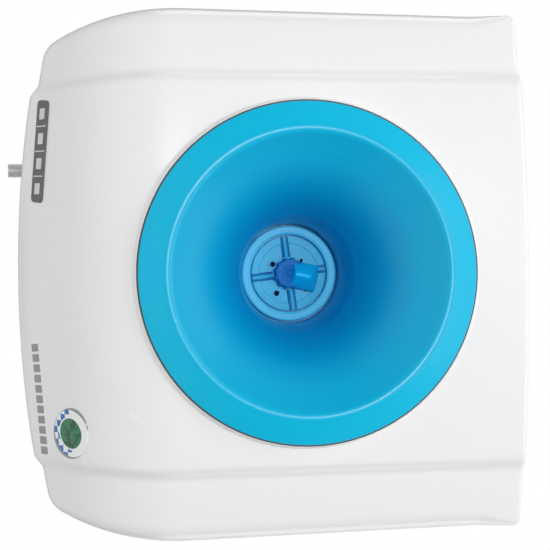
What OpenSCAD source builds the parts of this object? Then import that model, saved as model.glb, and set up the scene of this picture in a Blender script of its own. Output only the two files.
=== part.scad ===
// Wall-hung instant water heater: moulded case, flared front bowl with a control knob in its throat,
// a flat oval tank, and the fittings of its underside.
// Millimetres. X is to the right, Z is up and the wall is the plane y = 0, so the front faces -Y.

/* [Case] */
// Width of the case at its widest
case_w = 267; // [260:1:290]
// Height of the case, down to the raised band
case_h = 254; // [246:0.5:262]
// Depth of the case in front of the wall, without the bowl
case_d = 205; // [200:1:225]
// Radius of the front's bulge, seen from above
bulge_r = 565; // [500:5:900]
// How far the middle band stands proud
band_h = 3.5; // [2:0.5:5]
// Width of the middle band
band_w = 194; // [184:1:210]
// Wall thickness of the mouldings
wall = 2.6; // [2:0.1:3]
// Depth of the back plate
back_d = 18; // [16:1:24]

/* [Bowl] */
// Radius of the bowl's rim
rim_r = 84; // [80:1:88]
// Radius of the bowl's mouth
mouth_r = 66; // [62:1:68]
// Depth from the rim to the throat ring
bowl_depth = 62; // [56:1:66]
// Height of the bowl's axis above the middle of the case
bowl_z = 15.5; // [8:0.5:22]
// How far the raised lip stands in front of the rim
lip_h = 6; // [3:0.5:8]

/* [Knob] */
// Reach of the grip from the axis
grip_len = 15; // [13:0.5:18]
// Width of the grip
grip_w = 14; // [10:0.5:15]
// Lean of the ribs from upright
lean = 7; // [0:1:20]
// Turn of the grip at rest, the other way
grip_turn = 12; // [0:1:30]

/* [Tank] */
// Width of the tank
tank_w = 204; // [180:1:210]
// Depth of the tank
tank_d = 92; // [80:1:92]
// Height of the tank's wall
tank_h = 172; // [140:1:174]

/* [Fittings] */
// Outer radius of the water connections, half-inch pipe thread
nipple_r = 10.48; // [10.4:0.01:10.5]
// Distance between the water connections
nipple_gap = 60; // [56:1:66]
// Outer radius of the relief nozzle
nozzle_r = 3.9; // [3:0.1:4.2]
// Sideways place of the relief nozzle
nozzle_x = -62.5; // [-66:0.5:-58]
// Radius of the hole for the supply cable
cable_r = 4.5; // [3.5:0.1:5]

/* [Hidden] */
$fn = 64;
white = [0.94, 0.94, 0.95];
blue = [0.0, 0.62, 0.83];
steel = [0.75, 0.76, 0.78];
brass = [0.78, 0.62, 0.32];
dark = [0.2, 0.2, 0.22];

bottom_z = -125.8;
top_z = bottom_z + case_h;
knee_z = -50;          // where the flat front starts to turn under
front_r = 66;          // radius of the turn
turn = 50;             // angle at which the turn becomes straight
foot_r = 29;           // radius from the slope to the underside
shoulder_z = -43;      // where the sides start to draw in
side_r = 150;
arch_r = 600;          // sag of the underside
corner_r = 13;
edge_r = 3;            // top front edge
rim_t = 1.8;
seat_y = -case_d - 0.2;
rim_y = seat_y - rim_t;
skin = 2.2;            // thickness of the bowl
throat_r = 26.2;
throat_y = rim_y + bowl_depth;
floor_y = throat_y + 3;
ring_r = 25.4;
disc_r = 19.9;
disc_y = floor_y - 2.2;
rib_y = disc_y - 1.2;
hub_r = 8.3;
strip_lean = 7;        // the strips follow the sag of the foot
knob_y = disc_y - 0.5;
grip_y = rib_y - 0.5;
lamp_r = 11;
lamp_shift = 1.9;       // the four windows sit a little to one side
post_r = 13.5;
board_y = floor_y + 5.4;
board_t = 1.6;
spindle_r = 3;
tank_y = -12 - tank_d / 2;
tank_front = -12 - tank_d;
tank_bottom = -72;
sheet = 1.5;
plate_t = 3;
shelf_z = -104;
shelf_d = 61.7;
shelf_w = 175.4;
fitting_y = -32;
nozzle_y = -36;
element_y = -66;
flange_r = 32;
under_z = tank_bottom - sheet;
gland_x = 66;
gland_y = -42;
keyhole_x = 70;
keyhole_z = 92;
wall_hole_z = -86;
clamp_x = 83;
screws = [[-117, 108], [117, 108], [-108, -96], [108, -96]];

// ---- shapes that repeat ----

function arc(c, r, a0, a1, n) = [for (i = [0 : n]) let (a = a0 + (a1 - a0) * i / n) c + r * [cos(a), sin(a)]];
function mirrored(points) = [for (i = [len(points) - 1 : -1 : 0]) [-points[i][0], points[i][1]]];

// Centre of a circle of radius r inside two circles of centres a and b and radii ra and rb, on the right side.
function tangent_centre(a, ra, b, rb, r) =
    let (d = norm(b - a), u = (b - a) / d, p = ra - r, q = rb - r,
        s = (p * p - q * q + d * d) / (2 * d), h = sqrt(p * p - s * s))
    a + s * u + h * [u[1], -u[0]] * sign(u[1]);

// Cylinder along +Y from y0 to y1, at a place in the XZ plane.
module rod_y(x, z, y0, y1, r, r2 = -1, fn = 64) {
    translate([x, y0, z]) rotate([-90, 0, 0])
        cylinder(h = y1 - y0, r1 = r, r2 = r2 < 0 ? r : r2, $fn = fn);
}

module rod_z(x, y, z0, z1, r, fn = 64) {
    translate([x, y, z0]) cylinder(h = z1 - z0, r = r, $fn = fn);
}

function unit(v) = v / norm(v);

// Direction of a path at each of its points, halving the angle at a bend.
function headings(p) = [for (i = [0 : len(p) - 1])
    let (a = unit(i == 0 ? p[1] - p[0] : p[i] - p[i - 1]), b = i == len(p) - 1 ? a : unit(p[i + 1] - p[i]))
    unit(a + b)];

// One side vector carried along the headings without twist.
function carried(t, side, i = 0) = let (v = unit(side - (side * t[i]) * t[i]))
    i == len(t) - 1 ? [v] : concat([v], carried(t, v, i + 1));

// Round wire through a list of points.
module wire(points, r, sides = 8) {
    t = headings(points);
    v = carried(t, abs(t[0][2]) < 0.9 ? [0, 0, 1] : [1, 0, 0]);
    last = len(points) - 1;
    ring_points = [for (i = [0 : last]) for (k = [0 : sides - 1]) let (a = 360 * k / sides)
        points[i] + r * (cos(a) * v[i] + sin(a) * cross(t[i], v[i]))];
    faces = concat([[for (k = [0 : sides - 1]) k]],
        [for (i = [0 : last - 1]) for (k = [0 : sides - 1])
            let (j = (k + 1) % sides, a = i * sides, b = a + sides)
            each [[a + k, b + k, b + j], [a + k, b + j, a + j]]],
        [[for (k = [sides - 1 : -1 : 0]) last * sides + k]]);
    polyhedron(ring_points, faces);
}

// Compression spring along +Z.
module spring(mean_r, wire_r, height, turns, sides = 8, steps = 12) {
    n = turns * steps;
    wire([for (i = [0 : n]) let (a = 360 * i / steps)
        [mean_r * cos(a), mean_r * sin(a), 1.2 * wire_r + (height - 2.4 * wire_r) * i / n]], wire_r, sides);
}

// ---- the case ----

// Side profile, from the axis of the bulge: first number is the distance from that axis.
module side_profile(proud, inset) {
    f = bulge_r + proud - band_h;
    low = bottom_z + band_h - proud;
    back = bulge_r - case_d - 5;
    turn_c = [f - front_r, knee_z];
    foot_c = [0, low + foot_r];
    slope_top = turn_c + front_r * [cos(turn), -sin(turn)];
    foot_top_z = foot_c[1] - foot_r * sin(turn);
    slope_run = (slope_top[1] - foot_top_z) * tan(turn);
    foot_x = slope_top[0] - slope_run - foot_r * cos(turn);
    polygon(concat([[back, low], [back, top_z - inset]],
        arc([f - edge_r, top_z - inset - edge_r], edge_r, 90, 0, 6),
        arc(turn_c, front_r, 0, -turn, 14),
        arc([foot_x, foot_c[1]], foot_r, -turn, -90, 10)));
}

// Front outline of the plain body.
module front_outline(inset) {
    w = case_w / 2 - inset;
    low = bottom_z + band_h + inset;
    side_c = [w - side_r + inset, shoulder_z];
    arch_c = [0, low + arch_r - inset];
    corner = corner_r - inset;
    c = tangent_centre(side_c, side_r - inset, arch_c, arch_r - inset, corner);
    a_side = atan2(c[1] - side_c[1], c[0] - side_c[0]);
    a_arch = atan2(c[1] - arch_c[1], c[0] - arch_c[0]);
    half = concat([[w - 2, top_z - inset]],
        arc(side_c, side_r - inset, 0, a_side, 14),
        arc(c, corner, a_side, a_arch, 8),
        arc(arch_c, arch_r - inset, a_arch, -90, 12));
    polygon(concat(half, mirrored(half)));
}

// Front outline of the middle band, with cut corners at its foot.
module band_outline(inset) {
    w = band_w / 2 - inset;
    low = bottom_z + inset;
    arch_c = [0, low + arch_r - inset];
    a_end = -acos((w - 9) / (arch_r - inset));
    half = concat([[w, top_z - inset], [w, low + 14]],
        arc(arch_c, arch_r - inset, a_end, -90, 12));
    polygon(concat(half, mirrored(half)));
}

module swept_front(proud, inset) {
    translate([0, bulge_r - case_d, 0]) rotate_extrude($fn = 360) side_profile(proud, inset);
}

module along_wall(y0, y1) {
    translate([0, y1, 0]) rotate([90, 0, 0]) linear_extrude(y1 - y0) children();
}

// Solid form of the case, pulled in by inset, from y0 to y1.
module case_form(inset, y0, y1) {
    intersection() {
        swept_front(-inset, inset);
        along_wall(y0, y1) front_outline(inset);
    }
    intersection() {
        swept_front(band_h - inset, inset);
        along_wall(y0, y1) band_outline(inset);
    }
}

module recess_box(grow) {
    translate([-shelf_w / 2 - grow, -shelf_d - grow, -150]) cube([shelf_w + 2 * grow, 100, 150 + shelf_z + grow]);
}

module bowl_places(r) {
    for (a = [45 : 90 : 315]) translate([r * cos(a), 0, bowl_z + r * sin(a)]) children();
}

module front_cover() {
    color(white) {
        difference() {
            union() {
                case_form(0, -240, -back_d);
                rod_y(0, bowl_z, seat_y, seat_y + 9, rim_r + 2.4, rim_r + 4.4, 128);
            }
            case_form(wall, -240, 0);
            rod_y(0, bowl_z, seat_y + 3, -150, rim_r, -1, 128);
            rod_y(0, bowl_z, -240, -150, 72, -1, 128);
            rod_y(0, bowl_z, -240, seat_y, rim_r + 2.4, -1, 128);
            difference() {
                rod_y(0, bowl_z, seat_y - 1, seat_y + 0.8, 83.2, -1, 128);
                rod_y(0, bowl_z, seat_y - 2, seat_y + 2, 81.8, -1, 128);
            }
            bowl_places(77) rod_y(0, 0, -240, -150, 3.5);
            recess_box(0.3);
        }
        for (s = screws) cover_boss(s);
    }
}

// Boss for one cover screw, with a web to the side wall.
module cover_boss(s) {
    intersection() {
        case_form(wall / 2, -240, -back_d);
        difference() {
            union() {
                rod_y(s[0], s[1], -70, -back_d, 5);
                translate([s[0] > 0 ? s[0] : s[0] - 30, -70, s[1] - 1]) cube([30, 70 - back_d - 6.4, 2]);
            }
            rod_y(s[0], s[1], -60, -back_d + 1, 1.9);
        }
    }
}

module back_plate() {
    color(white) difference() {
        union() {
            difference() {
                union() {
                    case_form(0, -back_d, 0);
                    case_form(wall + 0.3, -back_d - 6, 0);
                }
                case_form(wall + 2.3, -60, -plate_t);
            }
            intersection() {
                case_form(0, -100, 0);
                recess_box(0);
            }
            for (s = screws) rod_y(s[0], s[1], -back_d, 0, 6.5);
            for (x = [-clamp_x, clamp_x], z = [70, -40]) rod_y(x, z, -8, 0, 5);
        }
        recess_box(-wall);
        for (s = screws) {
            rod_y(s[0], s[1], -back_d - 1, 1, 2.2);
            rod_y(s[0], s[1], -8, 1, 4.3);
        }
        for (x = [-clamp_x, clamp_x], z = [70, -40]) rod_y(x, z, -9, -1, 1.95);
        for (x = [-keyhole_x, keyhole_x]) {
            rod_y(x, keyhole_z, -10, 1, 5.5);
            rod_y(x, keyhole_z + 11, -10, 1, 2.6);
            translate([x - 2.6, -10, keyhole_z]) cube([5.2, 11, 11]);
            rod_y(x, wall_hole_z, -10, 1, 2.75);
        }
        for (x = [-nipple_gap / 2, nipple_gap / 2]) rod_z(x, fitting_y, -112, -100, nipple_r + 1.2);
        rod_z(nozzle_x, nozzle_y, -112, -100, nozzle_r + 0.9);
        rod_z(gland_x, gland_y, -112, -100, 7.1);
        rod_z(0, -26, -112, -100, 2.9);
    }
}

module cover_screws() {
    color(steel) for (s = screws) difference() {
        union() {
            rod_y(s[0], s[1], -50, -6, 1.85, -1, 24);
            rod_y(s[0], s[1], -8, -5, 3.8, -1, 32);
        }
        for (a = [0, 90]) translate([s[0], -5, s[1]]) rotate([0, a, 0]) cube([4.4, 2.4, 0.9], center = true);
    }
}

// ---- the bowl and what sits in its throat ----

flare_end = 65;
flare_a = (mouth_r - throat_r) / (1 - cos(flare_end));
flare_b = (bowl_depth + 2) / sin(flare_end);
function flare(t, off) =
    let (n = [flare_b * cos(t), flare_a * sin(t)])
    [throat_r + flare_a * (1 - cos(t)), throat_y - flare_b * sin(t)] + off * n / norm(n);

module bowl() {
    crest = rim_y - lip_h;
    profile = concat(
        [[rim_r, seat_y], [rim_r, rim_y]],
        arc([70, crest + 3.2], 3.2, -66, -180, 8),
        [for (i = [0 : 14]) flare(flare_end * (1 - i / 14), 0)],
        [[throat_r, floor_y], [17.5, floor_y], [17.5, floor_y + skin], [throat_r + skin, floor_y + skin]],
        [for (i = [0 : 14]) flare(flare_end * i / 14, skin)],
        [[71.5, seat_y]]);
    color(blue) translate([0, 0, bowl_z]) difference() {
        union() {
            rotate([90, 0, 0]) rotate_extrude($fn = 128) polygon([for (p = profile) [p[0], -p[1]]]);
            for (a = [45 : 90 : 315]) rod_y(77 * cos(a), 77 * sin(a), seat_y - 1, seat_y + 5.6, 3.2);
        }
        for (a = [45 : 90 : 315]) rod_y(77 * cos(a), 77 * sin(a), seat_y, seat_y + 6, 1.3);
    }
}

module bowl_seal() {
    color(dark) difference() {
        rod_y(0, bowl_z, seat_y + 0.02, seat_y + 0.78, 83, -1, 128);
        rod_y(0, bowl_z, seat_y - 1, seat_y + 2, 82, -1, 128);
    }
}

module bowl_screws() {
    color(steel) bowl_places(77) {
        rod_y(0, 0, seat_y + 1, seat_y + 5.6, 1.25, -1, 24);
        rod_y(0, 0, seat_y + 5.6, seat_y + 7.4, 4.6, -1, 32);
    }
}

module throat_ring() {
    color([0.3, 0.69, 0.9]) translate([0, 0, bowl_z]) rotate([90, 0, 0]) rotate_extrude($fn = 96)
        polygon([[20.6, -floor_y], [ring_r, -floor_y], [ring_r, 2.9 - floor_y], [24.6, 3.6 - floor_y],
            [21.3, 3.6 - floor_y], [20.6, 3.1 - floor_y]]);
}

module lamp_disc() {
    color([0.16, 0.6, 0.8]) translate([0, 0, bowl_z]) rotate([0, -lean, 0]) difference() {
        union() {
            rod_y(0, 0, disc_y, floor_y, disc_r);
            for (a = [0 : 90 : 270]) rotate([0, a, 0]) translate([8.6, rib_y, -1.5])
                difference() {
                    cube([disc_r - 8.9, 1.3, 3]);
                    translate([-1, -1, 1]) cube([20, 1.6, 1]);
                }
            for (x = [-post_r, post_r]) rod_y(x, 0, floor_y, board_y, 2);
        }
        rod_y(0, 0, disc_y - 5, floor_y + 1, 3.6);
        for (a = [45 : 90 : 315])
            rod_y(lamp_r * cos(a) + lamp_shift, lamp_r * sin(a), disc_y - 5, floor_y + 1, sin(a) < 0 ? 1.4 : 0.9);
        for (x = [-post_r, post_r]) rod_y(x, 0, board_y - 4, board_y + 1, 0.95);
    }
}

module control_knob() {
    color([0.02, 0.42, 0.68]) translate([0, 0, bowl_z]) rotate([0, grip_turn, 0]) difference() {
        union() {
            rod_y(0, 0, knob_y - 5, knob_y, hub_r - 0.7);
            for (a = [0 : 30 : 330]) rotate([0, a, 0]) translate([hub_r - 1.8, knob_y - 4.6, -1.1]) cube([1.8, 4.6, 2.2]);
            hull() {
                translate([-grip_w / 2, grip_y - 1.6, 1]) cube([grip_w, 1.6, grip_len - 1]);
                translate([-0.9, grip_y - 11, 1.6]) cube([1.8, 1, grip_len - 6.8]);
            }
        }
        rod_y(0, 0, knob_y - 4.3, knob_y + 1, spindle_r + 0.05);
    }
}

module knob_spindle() {
    color(steel) rod_y(0, bowl_z, knob_y - 4.2, -113, spindle_r);
}

module lamp_board() {
    color([0.1, 0.4, 0.2]) translate([0, 0, bowl_z]) rotate([0, -lean, 0]) difference() {
        rod_y(0, 0, board_y, board_y + board_t, 16.5);
        rod_y(0, 0, board_y - 1, board_y + 3, 7);
        for (x = [-post_r, post_r]) rod_y(x, 0, board_y - 1, board_y + 3, 1.1);
    }
}

module indicator_lamps() {
    color([0.9, 0.95, 0.9]) translate([0, 0, bowl_z]) rotate([0, -lean, 0])
        for (a = [45 : 90 : 315]) translate([lamp_r * cos(a) + lamp_shift, 0, lamp_r * sin(a)]) {
            rod_y(0, 0, floor_y + 1.9, board_y, 1.5, -1, 32);
            translate([0, floor_y + 1.9, 0]) sphere(r = 1.5, $fn = 32);
        }
}

module board_screws() {
    color(steel) translate([0, 0, bowl_z]) rotate([0, -lean, 0]) for (x = [-post_r, post_r]) {
        rod_y(x, 0, board_y - 3.6, board_y + board_t, 0.9, -1, 24);
        rod_y(x, 0, board_y + board_t, board_y + board_t + 1.4, 1.9, -1, 24);
    }
}

// ---- markings on the lower front ----

// Part of a thin skin on the case, cut by whatever stands in its way.
module on_case(thick) {
    intersection() {
        difference() {
            case_form(-thick, -240, -120);
            case_form(-0.03, -250, -110);
        }
        children();
    }
}

// Places a child, drawn in XY, on the slope of the lower front.
module on_slope(x, z, lean_over = 0) {
    slope_y = -case_d + front_r * (1 - cos(turn)) + (knee_z - front_r * sin(turn) - z) * tan(turn);
    translate([x, slope_y, z]) rotate([90 + turn, 0, 0]) rotate([0, 0, lean_over]) children();
}

module name_strip() {
    color([0.42, 0.43, 0.46]) on_case(0.8) on_slope(-62.9, -115.5, -strip_lean)
        translate([-26, -4.3, -8]) cube([52, 8.6, 24]);
}

module model_strip() {
    color([0.72, 0.73, 0.75]) on_case(0.5) on_slope(62, -117.6, strip_lean)
        translate([-29, -3.6, -8]) cube([58, 7.2, 24]);
}

module round_badge() {
    color([0.1, 0.45, 0.3]) on_case(0.6) on_slope(78, -103.4) translate([0, 0, -14]) cylinder(h = 28, r = 12.7, $fn = 64);
}

// ---- the tank and its heater ----

module oblong(r) {
    half = (tank_w - tank_d) / 2;
    translate([0, tank_y]) {
        for (x = [-half, half]) translate([x, 0]) circle(r = r, $fn = 96);
        square([2 * half, 2 * r], center = true);
    }
}

module tank_shell() {
    color(steel) translate([0, 0, tank_bottom]) linear_extrude(tank_h) difference() {
        oblong(tank_d / 2);
        oblong(tank_d / 2 - 1.2);
    }
}

module tank_top() {
    color(steel) {
        translate([0, 0, tank_bottom + tank_h]) linear_extrude(sheet) oblong(tank_d / 2);
        translate([0, 0, tank_bottom + tank_h + sheet]) linear_extrude(3) oblong(tank_d / 2 - 9);
    }
}

module tank_bottom_plate() {
    color(steel) difference() {
        translate([0, 0, under_z]) linear_extrude(sheet) oblong(tank_d / 2);
        rod_z(0, element_y, under_z - 1, tank_bottom + 1, 24);
        for (x = [-nipple_gap / 2, nipple_gap / 2]) rod_z(x, fitting_y, under_z - 1, tank_bottom + 1, 7.5);
        rod_z(nozzle_x, nozzle_y, under_z - 1, tank_bottom + 1, 2.2);
    }
}

module stud_places() {
    for (a = [45 : 90 : 315]) translate([28 * cos(a), element_y + 28 * sin(a), 0]) children();
}

module element_gasket() {
    color(dark) difference() {
        rod_z(0, element_y, under_z - 2, under_z, flange_r);
        rod_z(0, element_y, under_z - 3, under_z + 1, 23.5);
        stud_places() rod_z(0, 0, under_z - 3, under_z + 1, 2.7);
    }
}

module leg_places() {
    for (x = [-12, 12], y = [-6, 6]) translate([x, element_y + y, 0]) children();
}

module element_flange() {
    color(brass) difference() {
        rod_z(0, element_y, under_z - 5, under_z - 2, flange_r);
        stud_places() rod_z(0, 0, under_z - 8, under_z + 1, 2.7);
        leg_places() rod_z(0, 0, under_z - 8, under_z + 1, 4.05);
    }
}

module heating_element() {
    color([0.55, 0.5, 0.45]) {
        for (y = [-6, 6]) {
            crown = y < 0 ? 44 : 26;
            for (x = [-12, 12]) rod_z(x, element_y + y, under_z - 17, crown, 4);
            translate([0, element_y + y, crown]) rotate([90, 0, 0]) rotate_extrude(angle = 180, $fn = 48)
                translate([12, 0]) circle(r = 4, $fn = 32);
        }
    }
}

module element_terminals() {
    color(steel) leg_places() rod_z(0, 0, under_z - 24.5, under_z - 17, 1.8, 24);
}

module flange_studs() {
    color(steel) stud_places() {
        rod_z(0, 0, under_z - 13, under_z, 2.5, 24);
        rod_z(0, 0, under_z - 9, under_z - 5, 4.6, 6);
    }
}

// ---- the water connections ----

module nipple(x) {
    difference() {
        union() {
            rod_z(x, fitting_y, -121, shelf_z, nipple_r);
            rod_z(x, fitting_y, shelf_z, under_z, 13);
        }
        rod_z(x, fitting_y, -122, under_z + 1, 7.5);
    }
}

module collar(x) {
    difference() {
        rod_z(x, fitting_y, shelf_z - wall - 3, shelf_z - wall, 15.5);
        rod_z(x, fitting_y, -120, -100, nipple_r + 1.2);
    }
}

module inlet_pipe() { color(steel) nipple(nipple_gap / 2); }

module outlet_pipe() { color(steel) nipple(-nipple_gap / 2); }

module inlet_collar() { color([0.1, 0.35, 0.75]) collar(nipple_gap / 2); }

module outlet_collar() { color([0.75, 0.12, 0.12]) collar(-nipple_gap / 2); }

module outlet_standpipe() {
    color(steel) difference() {
        rod_z(-nipple_gap / 2, fitting_y, tank_bottom, 90, 9);
        rod_z(-nipple_gap / 2, fitting_y, tank_bottom - 1, 91, 7.5);
    }
}

module relief_body() {
    color(steel) translate([nozzle_x, nozzle_y, 0]) difference() {
        union() {
            rod_z(0, 0, -132.8, shelf_z, nozzle_r);
            rod_z(0, 0, shelf_z, under_z, 9.5);
        }
        rod_z(0, 0, -133, -97, nozzle_r - 1.4);
        rod_z(0, 0, -98, under_z - 3.5, 6.3);
        rod_z(0, 0, -90, under_z + 1, 2.2);
    }
}

module relief_poppet() {
    color(brass) translate([nozzle_x, nozzle_y, 0]) difference() {
        rod_z(0, 0, under_z - 8.5, under_z - 3.8, 5.9);
        for (a = [0, 90, 180, 270]) rotate([0, 0, a]) translate([4.6, -1.2, under_z - 9]) cube([4, 2.4, 8]);
    }
}

module relief_spring() {
    color(steel) translate([nozzle_x, nozzle_y, -97.9]) spring(4.2, 0.45, 97.7 + under_z - 8.5, 5);
}

// ---- what holds the tank ----

module tank_strap(z) {
    color(steel) translate([0, 0, z - 9]) difference() {
        union() {
            translate([-74, -12, 0]) cube([148, 1.5, 18]);
            for (s = [-1, 1]) {
                translate([s * 73.25 - 0.75, -12, 0]) cube([1.5, 4, 18]);
                translate([s > 0 ? 72.5 : -93.5, -9.5, 0]) cube([21, 1.5, 18]);
            }
        }
        for (x = [-clamp_x, clamp_x]) rod_y(x, 9, -20, 0, 2.2);
    }
}

module upper_tank_strap() { tank_strap(70); }

module lower_tank_strap() { tank_strap(-40); }

module strap_screws() {
    color(steel) for (x = [-clamp_x, clamp_x], z = [70, -40]) {
        rod_y(x, z, -10, -1.5, 1.9, -1, 24);
        rod_y(x, z, -12, -9.5, 4, -1, 32);
    }
}

// ---- the electrical parts ----

module thermostat_body() {
    color([0.85, 0.82, 0.74]) difference() {
        union() {
            translate([-16, tank_front - 23.5, bowl_z - 16]) cube([32, 22, 32]);
            rod_y(0, bowl_z, tank_front - 29, tank_front - 23.5, 5.5);
        }
        rod_y(0, bowl_z, tank_front - 30, -111, spindle_r + 0.05);
    }
}

module thermostat_bracket() {
    color(steel) translate([-24, tank_front - 1.5, bowl_z - 20]) cube([48, 1.5, 40]);
}

module thermostat_capillary() {
    y = tank_front - 4;
    color(brass) {
        wire([[9, tank_front - 12, bowl_z - 16], [9, tank_front - 12, -20], [36, y, -30], [36, y, -40],
            [29.5, y, -40]], 0.9);
        translate([-30, y, -40]) rotate([0, 90, 0]) cylinder(h = 60, r = 3, $fn = 32);
    }
}

module bulb_clips() {
    y = tank_front - 4;
    color(steel) for (x = [-18, 18]) difference() {
        union() {
            translate([x - 4, y, -40]) rotate([0, 90, 0]) cylinder(h = 8, r = 4, $fn = 48);
            translate([x - 4, y + 3, -47]) cube([8, 1, 14]);
        }
        translate([x - 5, y, -40]) rotate([0, 90, 0]) cylinder(h = 10, r = 3.1, $fn = 48);
    }
}

module cutout_body() {
    color(dark) difference() {
        translate([-9, -34, shelf_z]) cube([18, 16, 20]);
        rod_z(0, -26, shelf_z - 1, -95, 4.1);
    }
}

module reset_button() {
    color([0.8, 0.1, 0.1]) {
        rod_z(0, -26, -109.6, -103, 2.5);
        rod_z(0, -26, -103.4, -102.2, 3.7);
    }
}

module reset_spring() {
    color(steel) translate([0, -26, -102.1]) spring(3, 0.25, 7, 5, 6);
}

module terminal_block() {
    color([0.9, 0.88, 0.8]) difference() {
        translate([52, -30, shelf_z]) cube([28, 14, 12]);
        for (x = [57, 66, 75]) rod_z(x, -19, -96, -90, 2);
    }
}

module earth_stud() {
    color(brass) {
        rod_y(114, -50, -14, -plate_t, 2, -1, 24);
        rod_y(114, -50, -9, -6, 4, -1, 6);
    }
}

module cable_gland() {
    color(dark) difference() {
        union() {
            rod_z(gland_x, gland_y, -112, shelf_z - wall, 10.5);
            rod_z(gland_x, gland_y, -110, -98, 7);
        }
        rod_z(gland_x, gland_y, -113, -97, cable_r);
    }
}

module gland_nut() {
    color(dark) difference() {
        rod_z(gland_x, gland_y, shelf_z, shelf_z + 4, 10.5, 6);
        rod_z(gland_x, gland_y, -106, -98, 7.1);
    }
}

module fusible_plug() {
    color(brass) {
        rod_z(60, -66, under_z - 6, under_z, 8, 6);
        rod_z(60, -66, under_z - 8, under_z - 6, 5);
    }
}

module wire_harness() {
    foot = under_z - 24.5;
    color([0.75, 0.2, 0.15]) {
        wire([[57, -26, -92], [57, -26, -87], [56, -52, -90], [24, -60, -101], [12, -60, foot - 3],
            [12, -60, foot]], 1.2);
        wire([[66, -26, -92], [66, -26, -88], [62, -13, -84], [4, -13, -80], [4, -24, -80], [4, -24, -84]], 1.2);
        wire([[-4, -26, -84], [-4, -26, -80.5], [-4, -38, -80.5], [-12, -54, -101], [-12, -60, foot - 3],
            [-12, -60, foot]], 1.2);
        wire([[-8, -116, bowl_z - 16], [-8, -116, -60], [-8, -110, -90], [-12, -82, -101],
            [-12, -72, foot - 3], [-12, -72, foot]], 1.2);
        for (x = [-11.5, 11.5])
            wire([[x, board_y + board_t, bowl_z - 9], [x, tank_front - 23.5, bowl_z - 9]], 0.8);
    }
}

front_cover();
back_plate();
bowl();
bowl_seal();
bowl_screws();
throat_ring();
lamp_disc();
control_knob();
knob_spindle();
thermostat_body();
thermostat_bracket();
thermostat_capillary();
bulb_clips();
lamp_board();
indicator_lamps();
board_screws();
name_strip();
model_strip();
round_badge();
tank_shell();
tank_top();
tank_bottom_plate();
element_gasket();
element_flange();
heating_element();
element_terminals();
flange_studs();
inlet_pipe();
outlet_pipe();
outlet_standpipe();
inlet_collar();
outlet_collar();
relief_body();
relief_poppet();
relief_spring();
upper_tank_strap();
lower_tank_strap();
strap_screws();
cutout_body();
reset_button();
reset_spring();
terminal_block();
earth_stud();
cable_gland();
gland_nut();
fusible_plug();
wire_harness();
cover_screws();
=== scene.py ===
"""Looks of a wall-hung instant water heater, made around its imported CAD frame."""
import math

import bmesh
import bpy
from bpy.props import FloatProperty, FloatVectorProperty, IntProperty, PointerProperty
from mathutils import Matrix, Vector


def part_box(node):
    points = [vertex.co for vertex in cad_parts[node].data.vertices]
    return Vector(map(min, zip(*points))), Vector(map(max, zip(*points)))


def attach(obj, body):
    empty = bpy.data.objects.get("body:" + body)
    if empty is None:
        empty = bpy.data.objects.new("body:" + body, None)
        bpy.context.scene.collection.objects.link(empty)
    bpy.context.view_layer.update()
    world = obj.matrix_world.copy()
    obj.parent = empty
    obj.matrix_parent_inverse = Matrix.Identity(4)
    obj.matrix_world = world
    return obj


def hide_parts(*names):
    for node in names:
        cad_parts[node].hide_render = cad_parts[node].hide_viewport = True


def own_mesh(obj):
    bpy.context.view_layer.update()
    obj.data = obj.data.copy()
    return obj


bl_info = {
    "name": "Instant Water Heater",
    "version": (1, 0, 0),
    "blender": (4, 5, 0),
    "location": "View3D > Sidebar > Heater",
    "description": "Makes the moulded case, bowl, knob and fittings of a small wall-hung water heater",
    "category": "Add Mesh",
}

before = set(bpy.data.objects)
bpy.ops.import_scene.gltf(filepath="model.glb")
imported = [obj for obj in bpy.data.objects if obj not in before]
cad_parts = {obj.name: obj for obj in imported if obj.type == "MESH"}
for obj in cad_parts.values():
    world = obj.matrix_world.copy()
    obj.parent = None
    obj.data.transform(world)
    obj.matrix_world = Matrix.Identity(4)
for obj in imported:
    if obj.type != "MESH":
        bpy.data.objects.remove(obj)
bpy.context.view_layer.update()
MM = 0.001
COVER_LOW, COVER_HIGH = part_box("front_cover")
BOWL_LOW, BOWL_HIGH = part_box("bowl")
RING_LOW, RING_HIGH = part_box("throat_ring")
AXIS_Z = (BOWL_LOW.z + BOWL_HIGH.z) / 2  # height of the bowl's axis
SEAT_Y = COVER_LOW.y  # front of the seat that the bowl lies on
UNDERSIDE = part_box("inlet_collar")[1].z  # underside of the plate that the fittings pass through
PLATE_TOP = UNDERSIDE + 2.6 * MM
WINDOW_CIRCLE = 11 * MM  # radius of the circle of lamp windows
WINDOW_SHIFT = 1.9 * MM  # how far that circle stands to the right of the axis
AXIS_HOLE = 0.01 * MM  # radius at which a turned solid closes on its axis


def linear(hex_colour):
    """Turns an sRGB hex colour into a linear RGBA tuple."""
    def channel(text):
        c = int(text, 16) / 255
        return c / 12.92 if c <= 0.04045 else ((c + 0.055) / 1.055) ** 2.4
    return (*(channel(hex_colour[i:i + 2]) for i in (0, 2, 4)), 1.0)


# ---- properties ----

def length(name, description, mm, low=0.0):
    return FloatProperty(name=name, description=description, default=mm * MM, min=low, unit="LENGTH")


def colour(name, description, hex_colour):
    return FloatVectorProperty(name=name, description=description, subtype="COLOR", size=4,
                               min=0.0, max=1.0, default=linear(hex_colour))


def angle(name, description, degrees):
    return FloatProperty(name=name, description=description, subtype="ANGLE", default=math.radians(degrees))


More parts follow.
